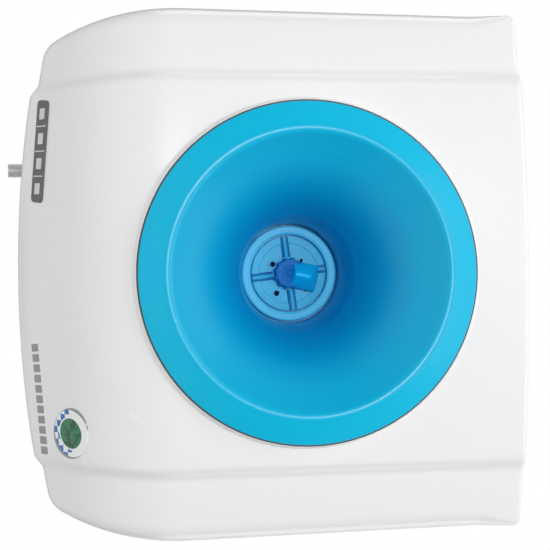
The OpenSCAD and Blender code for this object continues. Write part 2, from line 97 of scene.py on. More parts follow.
class HeaterCase(bpy.types.PropertyGroup):
    bulge: length("Bulge radius", "Radius of the front, seen from above", 565)
    band_height: length("Band height", "How far the middle band stands proud", 3.5)
    band_centre: length("Band half width", "Middle of the step beside the band", 98)
    step_width: length("Step width", "Width of the sloping step", 7)
    wall: length("Wall", "Thickness of the moulding", 2.6)
    knee: length("Knee", "Distance below the origin at which the front turns under", 50)
    turn_radius: length("Turn radius", "Radius of the turn under the front", 66)
    foot_radius: length("Foot radius", "Radius from the slope to the underside", 29)
    arch: length("Arch radius", "Radius of the sagging underside", 600)
    side_radius: length("Side radius", "Radius at which the sides draw in", 150)
    corner: length("Corner radius", "Radius of the lower corners", 13)
    edge: length("Edge radius", "Rounding from the front to the sides", 12)
    top_edge: length("Top edge radius", "Rounding from the front to the top", 3)
    foot_edge: length("Foot edge radius", "Rounding from the slope to the underside", 8)
    slope: angle("Slope", "Lean of the lower front", 50)
    strip_lean: angle("Strip lean", "Lean of the strips along the foot", 7)


class HeaterBowl(bpy.types.PropertyGroup):
    mouth: length("Mouth radius", "Radius at which the flare starts", 66)
    throat: length("Throat radius", "Radius of the bowl at the ring", 26.2)
    skin: length("Skin", "Thickness of the bowl", 2.2)
    rim: length("Rim thickness", "Thickness of the rim's edge", 1.8)
    bead: length("Bead radius", "Radius of the low bead round the throat", 30.5)
    opening: angle("Opening", "Angle at which the flare ends", 65)


class HeaterKnob(bpy.types.PropertyGroup):
    hub: length("Hub radius", "Outer radius of the toothed hub", 8.3)
    teeth: IntProperty(name="Teeth", description="Number of teeth round the hub", default=12, min=6)
    grip_width: length("Grip width", "Width of the gabled grip", 14)
    grip_reach: length("Grip reach", "Reach of the grip from the axis", 15)
    lean: angle("Lean", "Lean of the ribs from upright", 7)
    grip_turn: angle("Grip turn", "Turn of the grip at rest", 12)


class HeaterColours(bpy.types.PropertyGroup):
    case: colour("Case", "White ABS of the case", "F1F1F2")
    bowl: colour("Bowl", "Blue ABS of the bowl's flange", "06BBE2")
    # The two colours below are painted shade: darker blues that the bowl takes on towards the throat, in
    # place of the shade deep inside it.
    bowl_wall: colour("Bowl wall", "Blue ABS inside the bowl", "00ABD6")
    bowl_deep: colour("Bowl depth", "Blue ABS near the throat", "008CC8")
    ring: colour("Ring", "Lighter blue of the throat ring", "40C2EE")
    disc: colour("Disc", "Blue of the lamp disc", "30B6E2")
    knob: colour("Knob", "Deep blue of the knob", "02BCF8")
    hub: colour("Hub", "Darker blue of the knob's hub", "006CBA")
    # Painted shadow: the dark blue laid beside each rib on the lamp disc.
    rib: colour("Rib shadows", "Shaded blue beside the ribs", "0872B0")
    seal: colour("Seal", "Teal of the bowl's seal", "0E6E80")
    strip: colour("Name strip", "Grey of the name strip", "66676A")
    pale: colour("Pale print", "Pale print on the name strip", "D8D9DB")
    bars: colour("Bars", "Grey bars of the product strip", "9A9B9E")
    globe: colour("Badge green", "Green of the badge", "0E7A4C")
    wave: colour("Badge blue", "Blue of the badge", "1D6FB8")
    cold: colour("Cold", "Blue of the cold collar", "1C55B8")
    hot: colour("Hot", "Red of the hot collar and reset button", "B82020")


# ---- mesh helpers ----

def new_object(name, mesh):
    obj = bpy.data.objects.new(name, mesh)
    bpy.context.scene.collection.objects.link(obj)
    return obj


def shaded(mesh, sharp):
    """Shades a mesh smooth, apart from the edges sharper than an angle in degrees."""
    mesh.shade_smooth()
    mesh.set_sharp_from_angle(angle=math.radians(sharp))
    return mesh


def new_mesh(name, points, faces, sharp=35):
    mesh = bpy.data.meshes.new(name)
    mesh.from_pydata([tuple(p) for p in points], [], faces)
    mesh.validate()
    return shaded(mesh, sharp)


def mesh_from(name, shape):
    """Turns a bmesh into a mesh and frees it."""
    mesh = bpy.data.meshes.new(name)
    shape.to_mesh(mesh)
    shape.free()
    return mesh


def outward(mesh):
    """Merges doubles and points all faces outwards."""
    shape = bmesh.new()
    shape.from_mesh(mesh)
    bmesh.ops.remove_doubles(shape, verts=shape.verts, dist=1e-7)
    bmesh.ops.recalc_face_normals(shape, faces=shape.faces)
    shape.to_mesh(mesh)
    shape.free()
    return mesh


def lathe_mesh(name, profile, place, axis="Y", segments=96, sharp=35):
    """Closed ring or disc turned from (radius, height) points about an axis through place."""
    points, faces = [], []
    for k in range(segments):
        a = 2 * math.pi * k / segments
        for r, h in profile:
            u, v = r * math.cos(a), r * math.sin(a)
            points.append((u, h, v) if axis == "Y" else (u, v, h))
    count = len(profile)
    for k in range(segments):
        a, b = k * count, ((k + 1) % segments) * count
        for i in range(count):
            j = (i + 1) % count
            faces.append((a + i, a + j, b + j, b + i))
    offset = Vector((place[0], 0, place[1])) if axis == "Y" else Vector((place[0], place[1], 0))
    mesh = bpy.data.meshes.new(name)
    mesh.from_pydata([tuple(Vector(p) + offset) for p in points], [], faces)
    outward(mesh)
    mesh.validate()
    return shaded(mesh, sharp)


def arc(centre, radius, start, end, count):
    """Points of an arc in a profile, angles in degrees."""
    turns = [math.radians(start + (end - start) * i / count) for i in range(count + 1)]
    return [(centre[0] + radius * math.cos(t), centre[1] + radius * math.sin(t)) for t in turns]


def rounded(corners, radius, count=4):
    """A closed profile whose corners are cut with small arcs."""
    result = []
    for i, corner in enumerate(corners):
        here = Vector(corner)
        before = Vector(corners[i - 1]) - here
        after = Vector(corners[(i + 1) % len(corners)]) - here
        reach = min(radius, before.length * 0.45, after.length * 0.45)
        start, end = here + before.normalized() * reach, here + after.normalized() * reach
        for k in range(count + 1):
            t = k / count
            result.append(tuple((1 - t) ** 2 * start + 2 * t * (1 - t) * here + t * t * end))
    return result


def finish_piece(obj, finish, slot, *nodes, body="case"):
    """Gives a finished piece its body and its finish, which is a material or the name of one, and hides the
    CAD nodes that it stands for. slot is not used."""
    obj.data.materials.clear()
    obj.data.materials.append(material(finish) if isinstance(finish, str) else finish)
    if nodes:
        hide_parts(*nodes)
    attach(obj, body)
    return obj


def turned_piece(name, profile, place, finish, slot, *nodes, body="case", **turning):
    """A finished piece turned from a profile. turning holds lathe_mesh's other values."""
    obj = new_object(name, lathe_mesh(name, profile, place, **turning))
    return finish_piece(obj, finish, slot, *nodes, body=body)


def apply_modifiers(obj):
    """Turns the evaluated object into a plain mesh and drops its modifiers."""
    graph = bpy.context.evaluated_depsgraph_get()
    mesh = bpy.data.meshes.new_from_object(obj.evaluated_get(graph))
    obj.modifiers.clear()
    obj.data = mesh
    return obj


def cut_away(obj, name, shape, overlapping=False):
    """Cuts a bmesh out of an object. Its solids may overlap each other if overlapping is true."""
    tool = new_object(name, mesh_from(name, shape))
    cut = obj.modifiers.new(name, "BOOLEAN")
    cut.object, cut.operation, cut.solver, cut.use_self = tool, "DIFFERENCE", "EXACT", overlapping
    apply_modifiers(obj)
    bpy.data.objects.remove(tool)


# ---- geometry nodes ----

def add(tree, kind, inputs=None, **settings):
    """Adds one node, sets its attributes, and fills its inputs with values or links."""
    node = tree.nodes.new(kind)
    for key, value in settings.items():
        setattr(node, key, value)
    for key, value in (inputs or {}).items():
        socket = node.inputs[key]
        if isinstance(value, bpy.types.NodeSocket):
            tree.links.new(value, socket)
        else:
            socket.default_value = value
    return node


def new_tree(name, **inputs):
    """A Geometry Nodes tree with a named input for each size, given as its kind, and one for the material."""
    tree = bpy.data.node_groups.new(name, "GeometryNodeTree")
    for label, kind in {"Geometry": "Geometry", **inputs, "Material": "Material"}.items():
        tree.interface.new_socket(label, in_out="INPUT", socket_type="NodeSocket" + kind)
    tree.interface.new_socket("Geometry", in_out="OUTPUT", socket_type="NodeSocketGeometry")
    return tree, tree.nodes.new("NodeGroupInput")


def end_tree(tree, source, geometry):
    """Ends a tree with real copies, not instances, in its material."""
    realized = add(tree, "GeometryNodeRealizeInstances", {"Geometry": geometry})
    painted = add(tree, "GeometryNodeSetMaterial",
                  {"Geometry": realized.outputs[0], "Material": source.outputs["Material"]})
    add(tree, "NodeGroupOutput", {"Geometry": painted.outputs[0]})
    return tree


def on_points_tree():
    """One copy of a part on each point of a mesh."""
    tree, source = new_tree("part_on_points", Part="Object")
    part = add(tree, "GeometryNodeObjectInfo", {"Object": source.outputs["Part"]})
    copies = add(tree, "GeometryNodeInstanceOnPoints",
                 {"Points": source.outputs["Geometry"], "Instance": part.outputs["Geometry"]})
    return end_tree(tree, source, copies.outputs[0])


def round_axis_tree():
    """Copies of a part turned evenly about the Y axis."""
    tree, source = new_tree("part_round_axis", Part="Object", Count="Int", Start="Float")
    points = add(tree, "GeometryNodeMeshLine", {"Count": source.outputs["Count"], "Offset": (0, 0, 0)})
    index = add(tree, "GeometryNodeInputIndex")
    step = add(tree, "ShaderNodeMath", {0: 2 * math.pi, 1: source.outputs["Count"]}, operation="DIVIDE")
    angle = add(tree, "ShaderNodeMath",
                {0: index.outputs[0], 1: step.outputs[0], 2: source.outputs["Start"]},
                operation="MULTIPLY_ADD")
    turn = add(tree, "ShaderNodeCombineXYZ", {"Y": angle.outputs[0]})
    part = add(tree, "GeometryNodeObjectInfo", {"Object": source.outputs["Part"]})
    copies = add(tree, "GeometryNodeInstanceOnPoints", {
        "Points": points.outputs[0], "Instance": part.outputs["Geometry"], "Rotation": turn.outputs[0]})
    return end_tree(tree, source, copies.outputs[0])


def bulge_row_tree():
    """A row of flat blocks on the bulged slope of the case."""
    sizes = ("First", "Pitch", "Width", "Height", "Corner", "Thickness", "Bulge", "Axis", "Level", "Slope",
             "Lean")
    tree, source = new_tree("blocks_on_bulge", Count="Int", **{size: "Float" for size in sizes})
    known = {name: source.outputs[name] for name in ("Count", *sizes)}
    outline = add(tree, "GeometryNodeCurvePrimitiveQuadrilateral",
                  {"Width": known["Width"], "Height": known["Height"]})
    fillet = add(tree, "GeometryNodeFilletCurve",
                 {"Curve": outline.outputs[0], "Radius": known["Corner"], "Count": 4}, mode="POLY")
    sheet = add(tree, "GeometryNodeFillCurve", {"Curve": fillet.outputs[0]})
    leaning = add(tree, "ShaderNodeCombineXYZ", {"Z": known["Lean"]})
    leaned = add(tree, "GeometryNodeTransform",
                 {"Geometry": sheet.outputs[0], "Rotation": leaning.outputs[0]})
    block = add(tree, "GeometryNodeExtrudeMesh",
                {"Mesh": leaned.outputs[0], "Offset Scale": known["Thickness"]})
    known["index"] = add(tree, "GeometryNodeInputIndex").outputs[0]
    # Each row is a result, what makes it, and the results, inputs or numbers that go in.
    for result, operation, *terms in (
            ("across", "MULTIPLY_ADD", "index", "Pitch", "First"),
            ("span", "SUBTRACT", "Count", 1.0),
            ("middle", "MULTIPLY", "span", 0.5),
            ("offset", "SUBTRACT", "index", "middle"),
            ("along", "MULTIPLY", "offset", "Pitch"),
            ("tangent", "TANGENT", "Lean"),
            ("climb", "MULTIPLY", "along", "tangent"),
            ("from_flat", "SUBTRACT", "Slope", math.pi / 2),
            ("flatness", "COSINE", "from_flat"),
            ("tilt", "SINE", "from_flat"),
            ("level", "MULTIPLY_ADD", "climb", "flatness", "Level"),
            ("radius", "MULTIPLY_ADD", "climb", "tilt", "Bulge"),
            ("share", "DIVIDE", "across", "radius"),
            ("yaw", "ARCSINE", "share"),
            ("cosine", "COSINE", "yaw"),
            ("drop", "MULTIPLY", "cosine", "radius"),
            ("depth", "SUBTRACT", "Axis", "drop")):
        values = {i: known.get(term, term) for i, term in enumerate(terms)}
        known[result] = add(tree, "ShaderNodeMath", values, operation=operation).outputs[0]
    place = add(tree, "ShaderNodeCombineXYZ",
                {"X": known["across"], "Y": known["depth"], "Z": known["level"]})
    line = add(tree, "GeometryNodeMeshLine", {"Count": known["Count"], "Offset": (0, 0, 0)})
    points = add(tree, "GeometryNodeSetPosition", {"Geometry": line.outputs[0], "Position": place.outputs[0]})
    turn = add(tree, "ShaderNodeCombineXYZ", {"X": known["Slope"], "Z": known["yaw"]})
    copies = add(tree, "GeometryNodeInstanceOnPoints", {
        "Points": points.outputs[0], "Instance": block.outputs[0], "Rotation": turn.outputs[0]})
    return end_tree(tree, source, copies.outputs[0])


def grow(name, tree, base, **inputs):
    """Runs a tree on a base mesh and keeps the result as a plain mesh."""
    obj = new_object(name, base)
    modifier = obj.modifiers.new("Grow", "NODES")
    modifier.node_group = tree
    sockets = {s.name: s.identifier for s in tree.interface.items_tree if s.in_out == "INPUT"}
    for label, value in inputs.items():
        modifier[sockets[label]] = value
    return apply_modifiers(obj)


def points_mesh(*points):
    mesh = bpy.data.meshes.new("points")
    mesh.from_pydata([tuple(p) for p in points], [], [])
    return mesh


def throat_copies(name, tree, base, part, lean, finish, slot, body="case", **inputs):
    """Repeats a part in the bowl's throat, turns the copies to their lean and finishes them as one piece."""
    copies = grow(name, tree, base, Part=part, Material=material(finish), **inputs)
    bpy.data.objects.remove(part)
    turned_to_lean(copies.data, lean)
    return finish_piece(copies, finish, slot, body=body)


def islands(node):
    """Centre and half size of each separate solid of a CAD node."""
    shape = bmesh.new()
    shape.from_mesh(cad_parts[node].data)
    bmesh.ops.remove_doubles(shape, verts=shape.verts, dist=1e-6)
    left, found = set(shape.verts), []
    while left:
        todo, group = [left.pop()], []
        while todo:
            vert = todo.pop()
            group.append(vert.co.copy())
            for edge in vert.link_edges:
                other = edge.other_vert(vert)
                if other in left:
                    left.discard(other)
                    todo.append(other)
        low = Vector([min(c[i] for c in group) for i in range(3)])
        high = Vector([max(c[i] for c in group) for i in range(3)])
        found.append(((low + high) / 2, (high - low) / 2))
    shape.free()
    return sorted(found, key=lambda f: tuple(round(c, 5) for c in f[0]))


# ---- materials ----

def new_material(name, base, roughness, metallic=0.0, ior=1.5, specular=0.5):
    material = bpy.data.materials.new(name)
    material.use_nodes = True
    tree = material.node_tree
    shader = tree.nodes["Principled BSDF"]
    shader.inputs["Base Color"].default_value = base
    shader.inputs["Roughness"].default_value = roughness
    shader.inputs["Metallic"].default_value = metallic
    shader.inputs["IOR"].default_value = ior
    shader.inputs["Specular IOR Level"].default_value = specular
    return material, tree, shader


def noise(tree, size, detail=2.0, stretch=(1, 1, 1), roughness=0.5):
    """Noise whose features are about size metres across, in object coordinates."""
    where = add(tree, "ShaderNodeTexCoord")
    mapping = add(tree, "ShaderNodeMapping", {"Vector": where.outputs["Object"], "Scale": stretch})
    return add(tree, "ShaderNodeTexNoise", {"Vector": mapping.outputs[0], "Scale": 1 / size,
                                            "Detail": detail, "Roughness": roughness})


def varied_colour(tree, shader, factor, base, amount):
    """Lets the base colour drift a little lighter and darker."""
    dark = tuple(c * (1 - amount) for c in base[:3]) + (1.0,)
    light = tuple(min(1.0, c * (1 + amount)) for c in base[:3]) + (1.0,)
    mix = add(tree, "ShaderNodeMix", {"Factor": factor, 6: dark, 7: light}, data_type="RGBA")
    tree.links.new(mix.outputs[2], shader.inputs["Base Color"])
    return mix


def varied_roughness(tree, shader, factor, low, high):
    span = add(tree, "ShaderNodeMapRange", {"Value": factor, "To Min": low, "To Max": high})
    tree.links.new(span.outputs[0], shader.inputs["Roughness"])


def bumped(tree, shader, height, distance, strength=1.0):
    bump = add(tree, "ShaderNodeBump", {"Height": height, "Distance": distance, "Strength": strength})
    tree.links.new(bump.outputs[0], shader.inputs["Normal"])


def gloss_abs(name, base, roughness=0.2, coat=0.25, drift=0.005, specular=0.5):
    """High-gloss injection-moulded ABS: a smooth skin that ripples very slightly over a few millimetres,
    so highlights are soft at the edge, with faint handling haze in the gloss."""
    material, tree, shader = new_material(name, base, roughness, ior=1.53, specular=specular)
    shader.inputs["Coat Weight"].default_value = coat
    shader.inputs["Coat Roughness"].default_value = 0.08
    clouds = noise(tree, 5 * MM, 2.0)
    varied_colour(tree, shader, clouds.outputs[0], base, drift)
    haze = noise(tree, 30 * MM, 3.0)
    varied_roughness(tree, shader, haze.outputs[0], roughness - 0.01, roughness + 0.02)
    ripple = noise(tree, 18 * MM, 1.0)
    bumped(tree, shader, ripple.outputs[0], 0.03 * MM, 0.2)
    return material


def bowl_abs(name, colours):
    """Gloss blue ABS of the bowl, with painted shade: the base colour darkens from the flange towards the
    throat, following the distance from the bowl's axis, to stand in for the shade deep inside the bowl."""
    material = gloss_abs(name, tuple(colours.bowl), 0.3, 0.0, specular=0.3)
    tree, shader = material.node_tree, material.node_tree.nodes["Principled BSDF"]
    where = add(tree, "ShaderNodeTexCoord")
    level = add(tree, "ShaderNodeMapping", {"Vector": where.outputs["Object"], "Location": (0, 0, -AXIS_Z),
                                            "Scale": (1, 0, 1)})
    reach = add(tree, "ShaderNodeVectorMath", {0: level.outputs[0]}, operation="LENGTH")
    depth = add(tree, "ShaderNodeMapRange",
                {"Value": reach.outputs["Value"], "From Min": 0.0, "From Max": 0.084})
    # Painted shade: the ramp darkens the blue from the flange towards the throat.
    tone = add(tree, "ShaderNodeValToRGB", {"Fac": depth.outputs[0]})
    tone.color_ramp.interpolation = "EASE"
    tone.color_ramp.elements[0].position, tone.color_ramp.elements[0].color = 0.33, tuple(colours.bowl_deep)
    tone.color_ramp.elements[1].position, tone.color_ramp.elements[1].color = 0.9, tuple(colours.bowl)
    middle = tone.color_ramp.elements.new(0.76)
    middle.color = tuple(colours.bowl_wall)
    tree.links.new(tone.outputs[0], shader.inputs["Base Color"])
    return material


def grained_plastic(name, base, roughness=0.5, grain=0.6, specular=0.5):
    """Spark-eroded moulded plastic: a fine even grain about half a millimetre across, dull and flat in gloss.
    The grain is drawn a little coarse so that it shows."""
    material, tree, shader = new_material(name, base, roughness, ior=1.49, specular=specular)
    fine = noise(tree, grain * MM, 3.0)
    varied_colour(tree, shader, fine.outputs[0], base, 0.06)
    varied_roughness(tree, shader, fine.outputs[0], roughness - 0.06, roughness + 0.1)
    bumped(tree, shader, fine.outputs[0], 0.05 * MM, 0.6)
    return material


def moulded_rubber(name, base):
    """Nitrile or silicone rubber: matt, with a dusty bloom in broad patches."""
    material, tree, shader = new_material(name, base, 0.62, ior=1.52)
    bloom = noise(tree, 5 * MM, 5.0)
    varied_colour(tree, shader, bloom.outputs[0], base, 0.25)
    varied_roughness(tree, shader, bloom.outputs[0], 0.5, 0.75)
    bumped(tree, shader, noise(tree, 0.5 * MM).outputs[0], 0.03 * MM, 0.5)
    return material


def brushed_metal(name, base, along, roughness=0.3):
    """Drawn or brushed metal: hair-fine lines along one direction, which stretch the highlight across it."""
    material, tree, shader = new_material(name, base, roughness, metallic=1.0)
    stretch = tuple(0.03 if i == along else 1.0 for i in range(3))
    lines = noise(tree, 0.5 * MM, 3.0, stretch, 0.7)
    varied_colour(tree, shader, lines.outputs[0], base, 0.1)
    varied_roughness(tree, shader, lines.outputs[0], roughness - 0.08, roughness + 0.14)
    bumped(tree, shader, lines.outputs[0], 0.02 * MM, 0.5)
    return material


def plated_metal(name, base, tint, roughness=0.28):
    """Zinc-plated or turned metal: crystalline patches a few millimetres across that shift in tint and
    gloss."""
    material, tree, shader = new_material(name, base, roughness, metallic=1.0)
    where = add(tree, "ShaderNodeTexCoord")
    cells = add(tree, "ShaderNodeTexVoronoi", {"Vector": where.outputs["Object"], "Scale": 1 / (2.5 * MM)})
    mix = add(tree, "ShaderNodeMix", {"Factor": cells.outputs["Distance"], 6: base, 7: tint},
              data_type="RGBA")
    tree.links.new(mix.outputs[2], shader.inputs["Base Color"])
    varied_roughness(tree, shader, noise(tree, 2 * MM, 4.0).outputs[0], roughness - 0.08, roughness + 0.12)
    bumped(tree, shader, cells.outputs["Distance"], 0.01 * MM, 0.4)
    return material


def circuit_board(name):
    """Fibreglass board under green solder resist: pale copper tracks 1 mm apart show through the lacquer."""
    base = linear("0E5A2C")
    material, tree, shader = new_material(name, base, 0.3, ior=1.55)
    where = add(tree, "ShaderNodeTexCoord")
    tracks = add(tree, "ShaderNodeTexBrick", {
        "Vector": where.outputs["Object"], "Color1": base, "Color2": linear("12662F"),
        "Mortar": linear("2F8A4B"), "Scale": 1 / (4 * MM), "Mortar Size": 0.04})
    tree.links.new(tracks.outputs["Color"], shader.inputs["Base Color"])
    bumped(tree, shader, tracks.outputs["Fac"], 0.03 * MM, 0.6)
    return material


def clear_lens(name):
    """Smoked epoxy of an unlit lamp: dark, glossy and half see-through, with a trace of moulding haze."""
    material, tree, shader = new_material(name, linear("1B2A48"), 0.08, ior=1.52)
    shader.inputs["Transmission Weight"].default_value = 0.4
    haze = noise(tree, 1.5 * MM, 3.0)
    varied_roughness(tree, shader, haze.outputs[0], 0.04, 0.16)
    return material


def tube_sheath(name):
    """Copper heating sheath, pickled and then heat-stained: brown and violet bands a centimetre long."""
    base = linear("9A6A4C")
    material, tree, shader = new_material(name, base, 0.38, metallic=1.0)
    bands = noise(tree, 10 * MM, 4.0, (0.4, 0.4, 1.0))
    mix = add(tree, "ShaderNodeMix", {"Factor": bands.outputs[0], 6: base, 7: linear("5A4048")},
              data_type="RGBA")
    tree.links.new(mix.outputs[2], shader.inputs["Base Color"])
    varied_roughness(tree, shader, bands.outputs[0], 0.28, 0.5)
    return material


def badge_film(name, centre, slope, radius, colours):
    """Printed, domed badge: a green disc with darker patches in a white field, which is checked with blue in
    its lower half and has a fine grey border. The print follows the distance and direction to the badge's
    middle."""
    material, tree, shader = new_material(name, (0.9, 0.9, 0.9, 1), 0.16, ior=1.5)
    shader.inputs["Coat Weight"].default_value = 0.6
    white, dark_green = linear("F4F6F5"), tuple(c * 0.35 for c in colours.globe[:3]) + (1.0,)
    where = add(tree, "ShaderNodeTexCoord")
    shift = add(tree, "ShaderNodeVectorMath", {0: where.outputs["Object"], 1: centre}, operation="SUBTRACT")
    level = add(tree, "ShaderNodeMapping", {"Vector": shift.outputs[0], "Rotation": (-slope, 0, 0),
                                            "Scale": (1 / radius,) * 3})
    split = add(tree, "ShaderNodeSeparateXYZ", {"Vector": level.outputs[0]})
    flat = add(tree, "ShaderNodeCombineXYZ", {"X": split.outputs["X"], "Y": split.outputs["Y"]})
    reach = add(tree, "ShaderNodeVectorMath", {0: flat.outputs[0]}, operation="LENGTH")
    land = add(tree, "ShaderNodeTexNoise", {"Vector": flat.outputs[0], "Scale": 3.2, "Detail": 3.0})
    checks = add(tree, "ShaderNodeTexChecker", {"Vector": flat.outputs[0], "Color1": tuple(colours.wave),
                                                "Color2": white, "Scale": 4.0})
    shore, field, ring, border = (
        add(tree, "ShaderNodeMath", {0: socket, 1: limit}, operation="GREATER_THAN").outputs[0]
        for socket, limit in ((land.outputs[0], 0.52), (reach.outputs["Value"], 0.6),
                              (reach.outputs["Value"], 0.66), (reach.outputs["Value"], 0.93)))
    foot = add(tree, "ShaderNodeMath", {0: split.outputs["Y"], 1: 0.0}, operation="LESS_THAN")
    checked = add(tree, "ShaderNodeMath", {0: foot.outputs[0], 1: ring}, operation="MULTIPLY")
    ink = tuple(colours.globe)
    for mask, over in ((shore, dark_green), (field, white), (checked.outputs[0], checks.outputs["Color"]),
                       (border, linear("8E9694"))):
        ink = add(tree, "ShaderNodeMix", {"Factor": mask, 6: ink, 7: over}, data_type="RGBA").outputs[2]
    tree.links.new(ink, shader.inputs["Base Color"])
    return material


def tinted(name):
    return tuple(getattr(bpy.context.scene.heater_colours, name))


# How each finish is made. seal_rubber and copper_sheath are also slots of the frame, and material() finds the
# frame's plain material of that name first, so the seal and the heating element wear that one.
MAKERS = {
    "case_abs": lambda n: gloss_abs(n, tinted("case"), 0.26, 0.2),
    # Blue ABS with painted shade towards the throat.
    "bowl_abs": lambda n: bowl_abs(n, bpy.context.scene.heater_colours),
    "ring_abs": lambda n: gloss_abs(n, tinted("ring"), 0.46, 0.0, specular=0.35),
    # Painted shadow beside the ribs.
    "channel_abs": lambda n: gloss_abs(n, tinted("rib"), 0.5, 0.0, specular=0.2),
    "disc_abs": lambda n: gloss_abs(n, tinted("disc"), 0.46, 0.0, 0.1, 0.3),
    "knob_abs": lambda n: gloss_abs(n, tinted("knob"), 0.45, 0.0, specular=0.25),
    "hub_abs": lambda n: grained_plastic(n, tinted("hub"), 0.5, 0.8, 0.2),
    "seal_rubber": lambda n: moulded_rubber(n, tinted("seal")),
    "black_rubber": lambda n: moulded_rubber(n, linear("1B1B1D")),
    "wire_sleeve": lambda n: moulded_rubber(n, linear("A32A20")),
    "strip_print": lambda n: grained_plastic(n, tinted("strip"), 0.35, 0.4),
    "pale_print": lambda n: grained_plastic(n, tinted("pale"), 0.3, 0.4),
    "bar_print": lambda n: grained_plastic(n, tinted("bars"), 0.35, 0.4),
    "cold_plastic": lambda n: grained_plastic(n, tinted("cold"), 0.4),
    "hot_plastic": lambda n: grained_plastic(n, tinted("hot"), 0.4),
    "cream_bakelite": lambda n: grained_plastic(n, linear("DDD6C2"), 0.42, 0.9),
    "black_nylon": lambda n: grained_plastic(n, linear("1E1F21"), 0.45),
    "stainless_sheet": lambda n: brushed_metal(n, linear("C4C6C9"), 2, 0.26),
    "drawn_stainless": lambda n: brushed_metal(n, linear("CDCFD2"), 2, 0.22),
    "satin_nickel": lambda n: brushed_metal(n, linear("F0F0F1"), 2, 0.5),
    "zinc_plate": lambda n: plated_metal(n, linear("BFC2C6"), linear("A9B4C4")),
    "spring_steel": lambda n: plated_metal(n, linear("A8AAAE"), linear("8F969E"), 0.32),
    "turned_brass": lambda n: plated_metal(n, linear("C9A25A"), linear("B58A42"), 0.25),
    "copper_sheath": tube_sheath,
    "green_board": circuit_board,
    "lamp_epoxy": clear_lens,
}


def material(name):
    """The material of that name, made by MAKERS if the scene has none yet."""
    return bpy.data.materials.get(name) or MAKERS[name](name)


# ---- the form of the case ----

def smooth(t):
    t = min(1.0, max(0.0, t))
    return t * t * (3 - 2 * t)


class CaseForm:
    """Surface of the case: a bulged front that turns under at the foot, inside a rounded outline."""

    def __init__(self, sizes):
        self.s = sizes
        self.axis = sizes.bulge + COVER_LOW.y + 0.2 * MM
        self.top, self.bottom = COVER_HIGH.z, COVER_LOW.z
        self.half = COVER_HIGH.x

    def band(self, x, z):
        """1 on the middle band, 0 beside it. The band narrows a little towards the foot."""
        centre = self.s.band_centre - 3.5 * MM * smooth((-self.s.knee - z) / (75 * MM))
        return 1 - smooth((abs(x) - centre) / self.s.step_width + 0.5)

    def reach(self, z, proud):
        """Distance of the front from the axis of the bulge."""
        s = self.s
        face = s.bulge + proud - s.band_height
        foot = self.bottom + s.band_height - proud + s.foot_radius
        sin, cos, tan = math.sin(s.slope), math.cos(s.slope), math.tan(s.slope)
        slope_top, foot_top = -s.knee - s.turn_radius * sin, foot - s.foot_radius * sin
        if z >= -s.knee:
            return face
        if z >= slope_top:
            return face - s.turn_radius + math.sqrt(s.turn_radius ** 2 - (s.knee + z) ** 2)
        slope_face = face - s.turn_radius * (1 - cos)
        if z >= foot_top:
            return slope_face - (slope_top - z) * tan
        centre = slope_face - (slope_top - foot_top) * tan - s.foot_radius * cos
        return centre + math.sqrt(max(0.0, s.foot_radius ** 2 - (foot - z) ** 2))

    def front(self, x, z):
        """Y of the front at a place."""
        band = self.band(x, z)
        beside, on_band = (self.axis - math.sqrt(self.reach(z, proud) ** 2 - x * x)
                           for proud in (0, self.s.band_height))
        return beside + (on_band - beside) * band

    def point(self, x, z, lift):
        """A point that stands off the front by lift, along the surface's normal."""
        step = 0.2 * MM
        dx = (self.front(x + step, z) - self.front(x - step, z)) / (2 * step)
        dz = (self.front(x, z + step) - self.front(x, z - step)) / (2 * step)
        return Vector((x, self.front(x, z), z)) + Vector((dx, -1, dz)).normalized() * lift

    def outline(self):
        """Right half of the front outline from the foot to the top, with sample points about 2 mm apart."""
        s = self.s
        low = self.bottom + s.band_height
        side, arch = Vector((self.half - s.side_radius, -43 * MM)), Vector((0, low + s.arch))
        gap = arch - side
        p, q, d = s.side_radius - s.corner, s.arch - s.corner, gap.length
        along = (p * p - q * q + d * d) / (2 * d)
        u = gap / d
        corner = side + u * along + Vector((u.y, -u.x)) * math.sqrt(p * p - along * along)
        side_angle = math.degrees(math.atan2(*(corner - side).yx))
        arch_angle = math.degrees(math.atan2(*(corner - arch).yx))
        points = arc(arch, s.arch, -90, arch_angle, 64)
        points += arc(corner, s.corner, arch_angle, side_angle, 10)[1:]
        points += arc(side, s.side_radius, side_angle, 0, 30)[1:]
        top_half, nip = self.half - 2 * MM, 4 * MM
        straight = Vector((top_half, self.top - nip)) - Vector(points[-1])
        points += [tuple(Vector(points[-1]) + straight * (i / 66)) for i in range(1, 67)]
        points += arc((top_half - nip, self.top - nip), nip, 0, 90, 6)[1:]
        points += [((top_half - nip) * (1 - i / 56), self.top) for i in range(1, 57)]
        return [(x, z - s.band_height * self.band(x, self.bottom) if z < -80 * MM else z) for x, z in points]


def loop_normals(loop):
    """Outward normals of a closed loop that runs anticlockwise."""
    result = []
    for i in range(len(loop)):
        a, b = Vector(loop[i - 1]), Vector(loop[(i + 1) % len(loop)])
        along = (b - a).normalized()
        result.append(Vector((along.y, -along.x)))
    return result


def cover_columns(form, notch):
    """Closed outline of the case, with a close pair of points at each edge of the underside's notch."""
    half = form.outline()
    near = min(range(len(half)), key=lambda i: abs(half[i][0] - notch) + (half[i][1] > 0))
    level = half[near][1]
    half[near] = (notch, level)
    half.insert(near + 1, (notch + 0.05 * MM, level))
    return half[:-1] + [(-x, z) for x, z in reversed(half)][:-1]


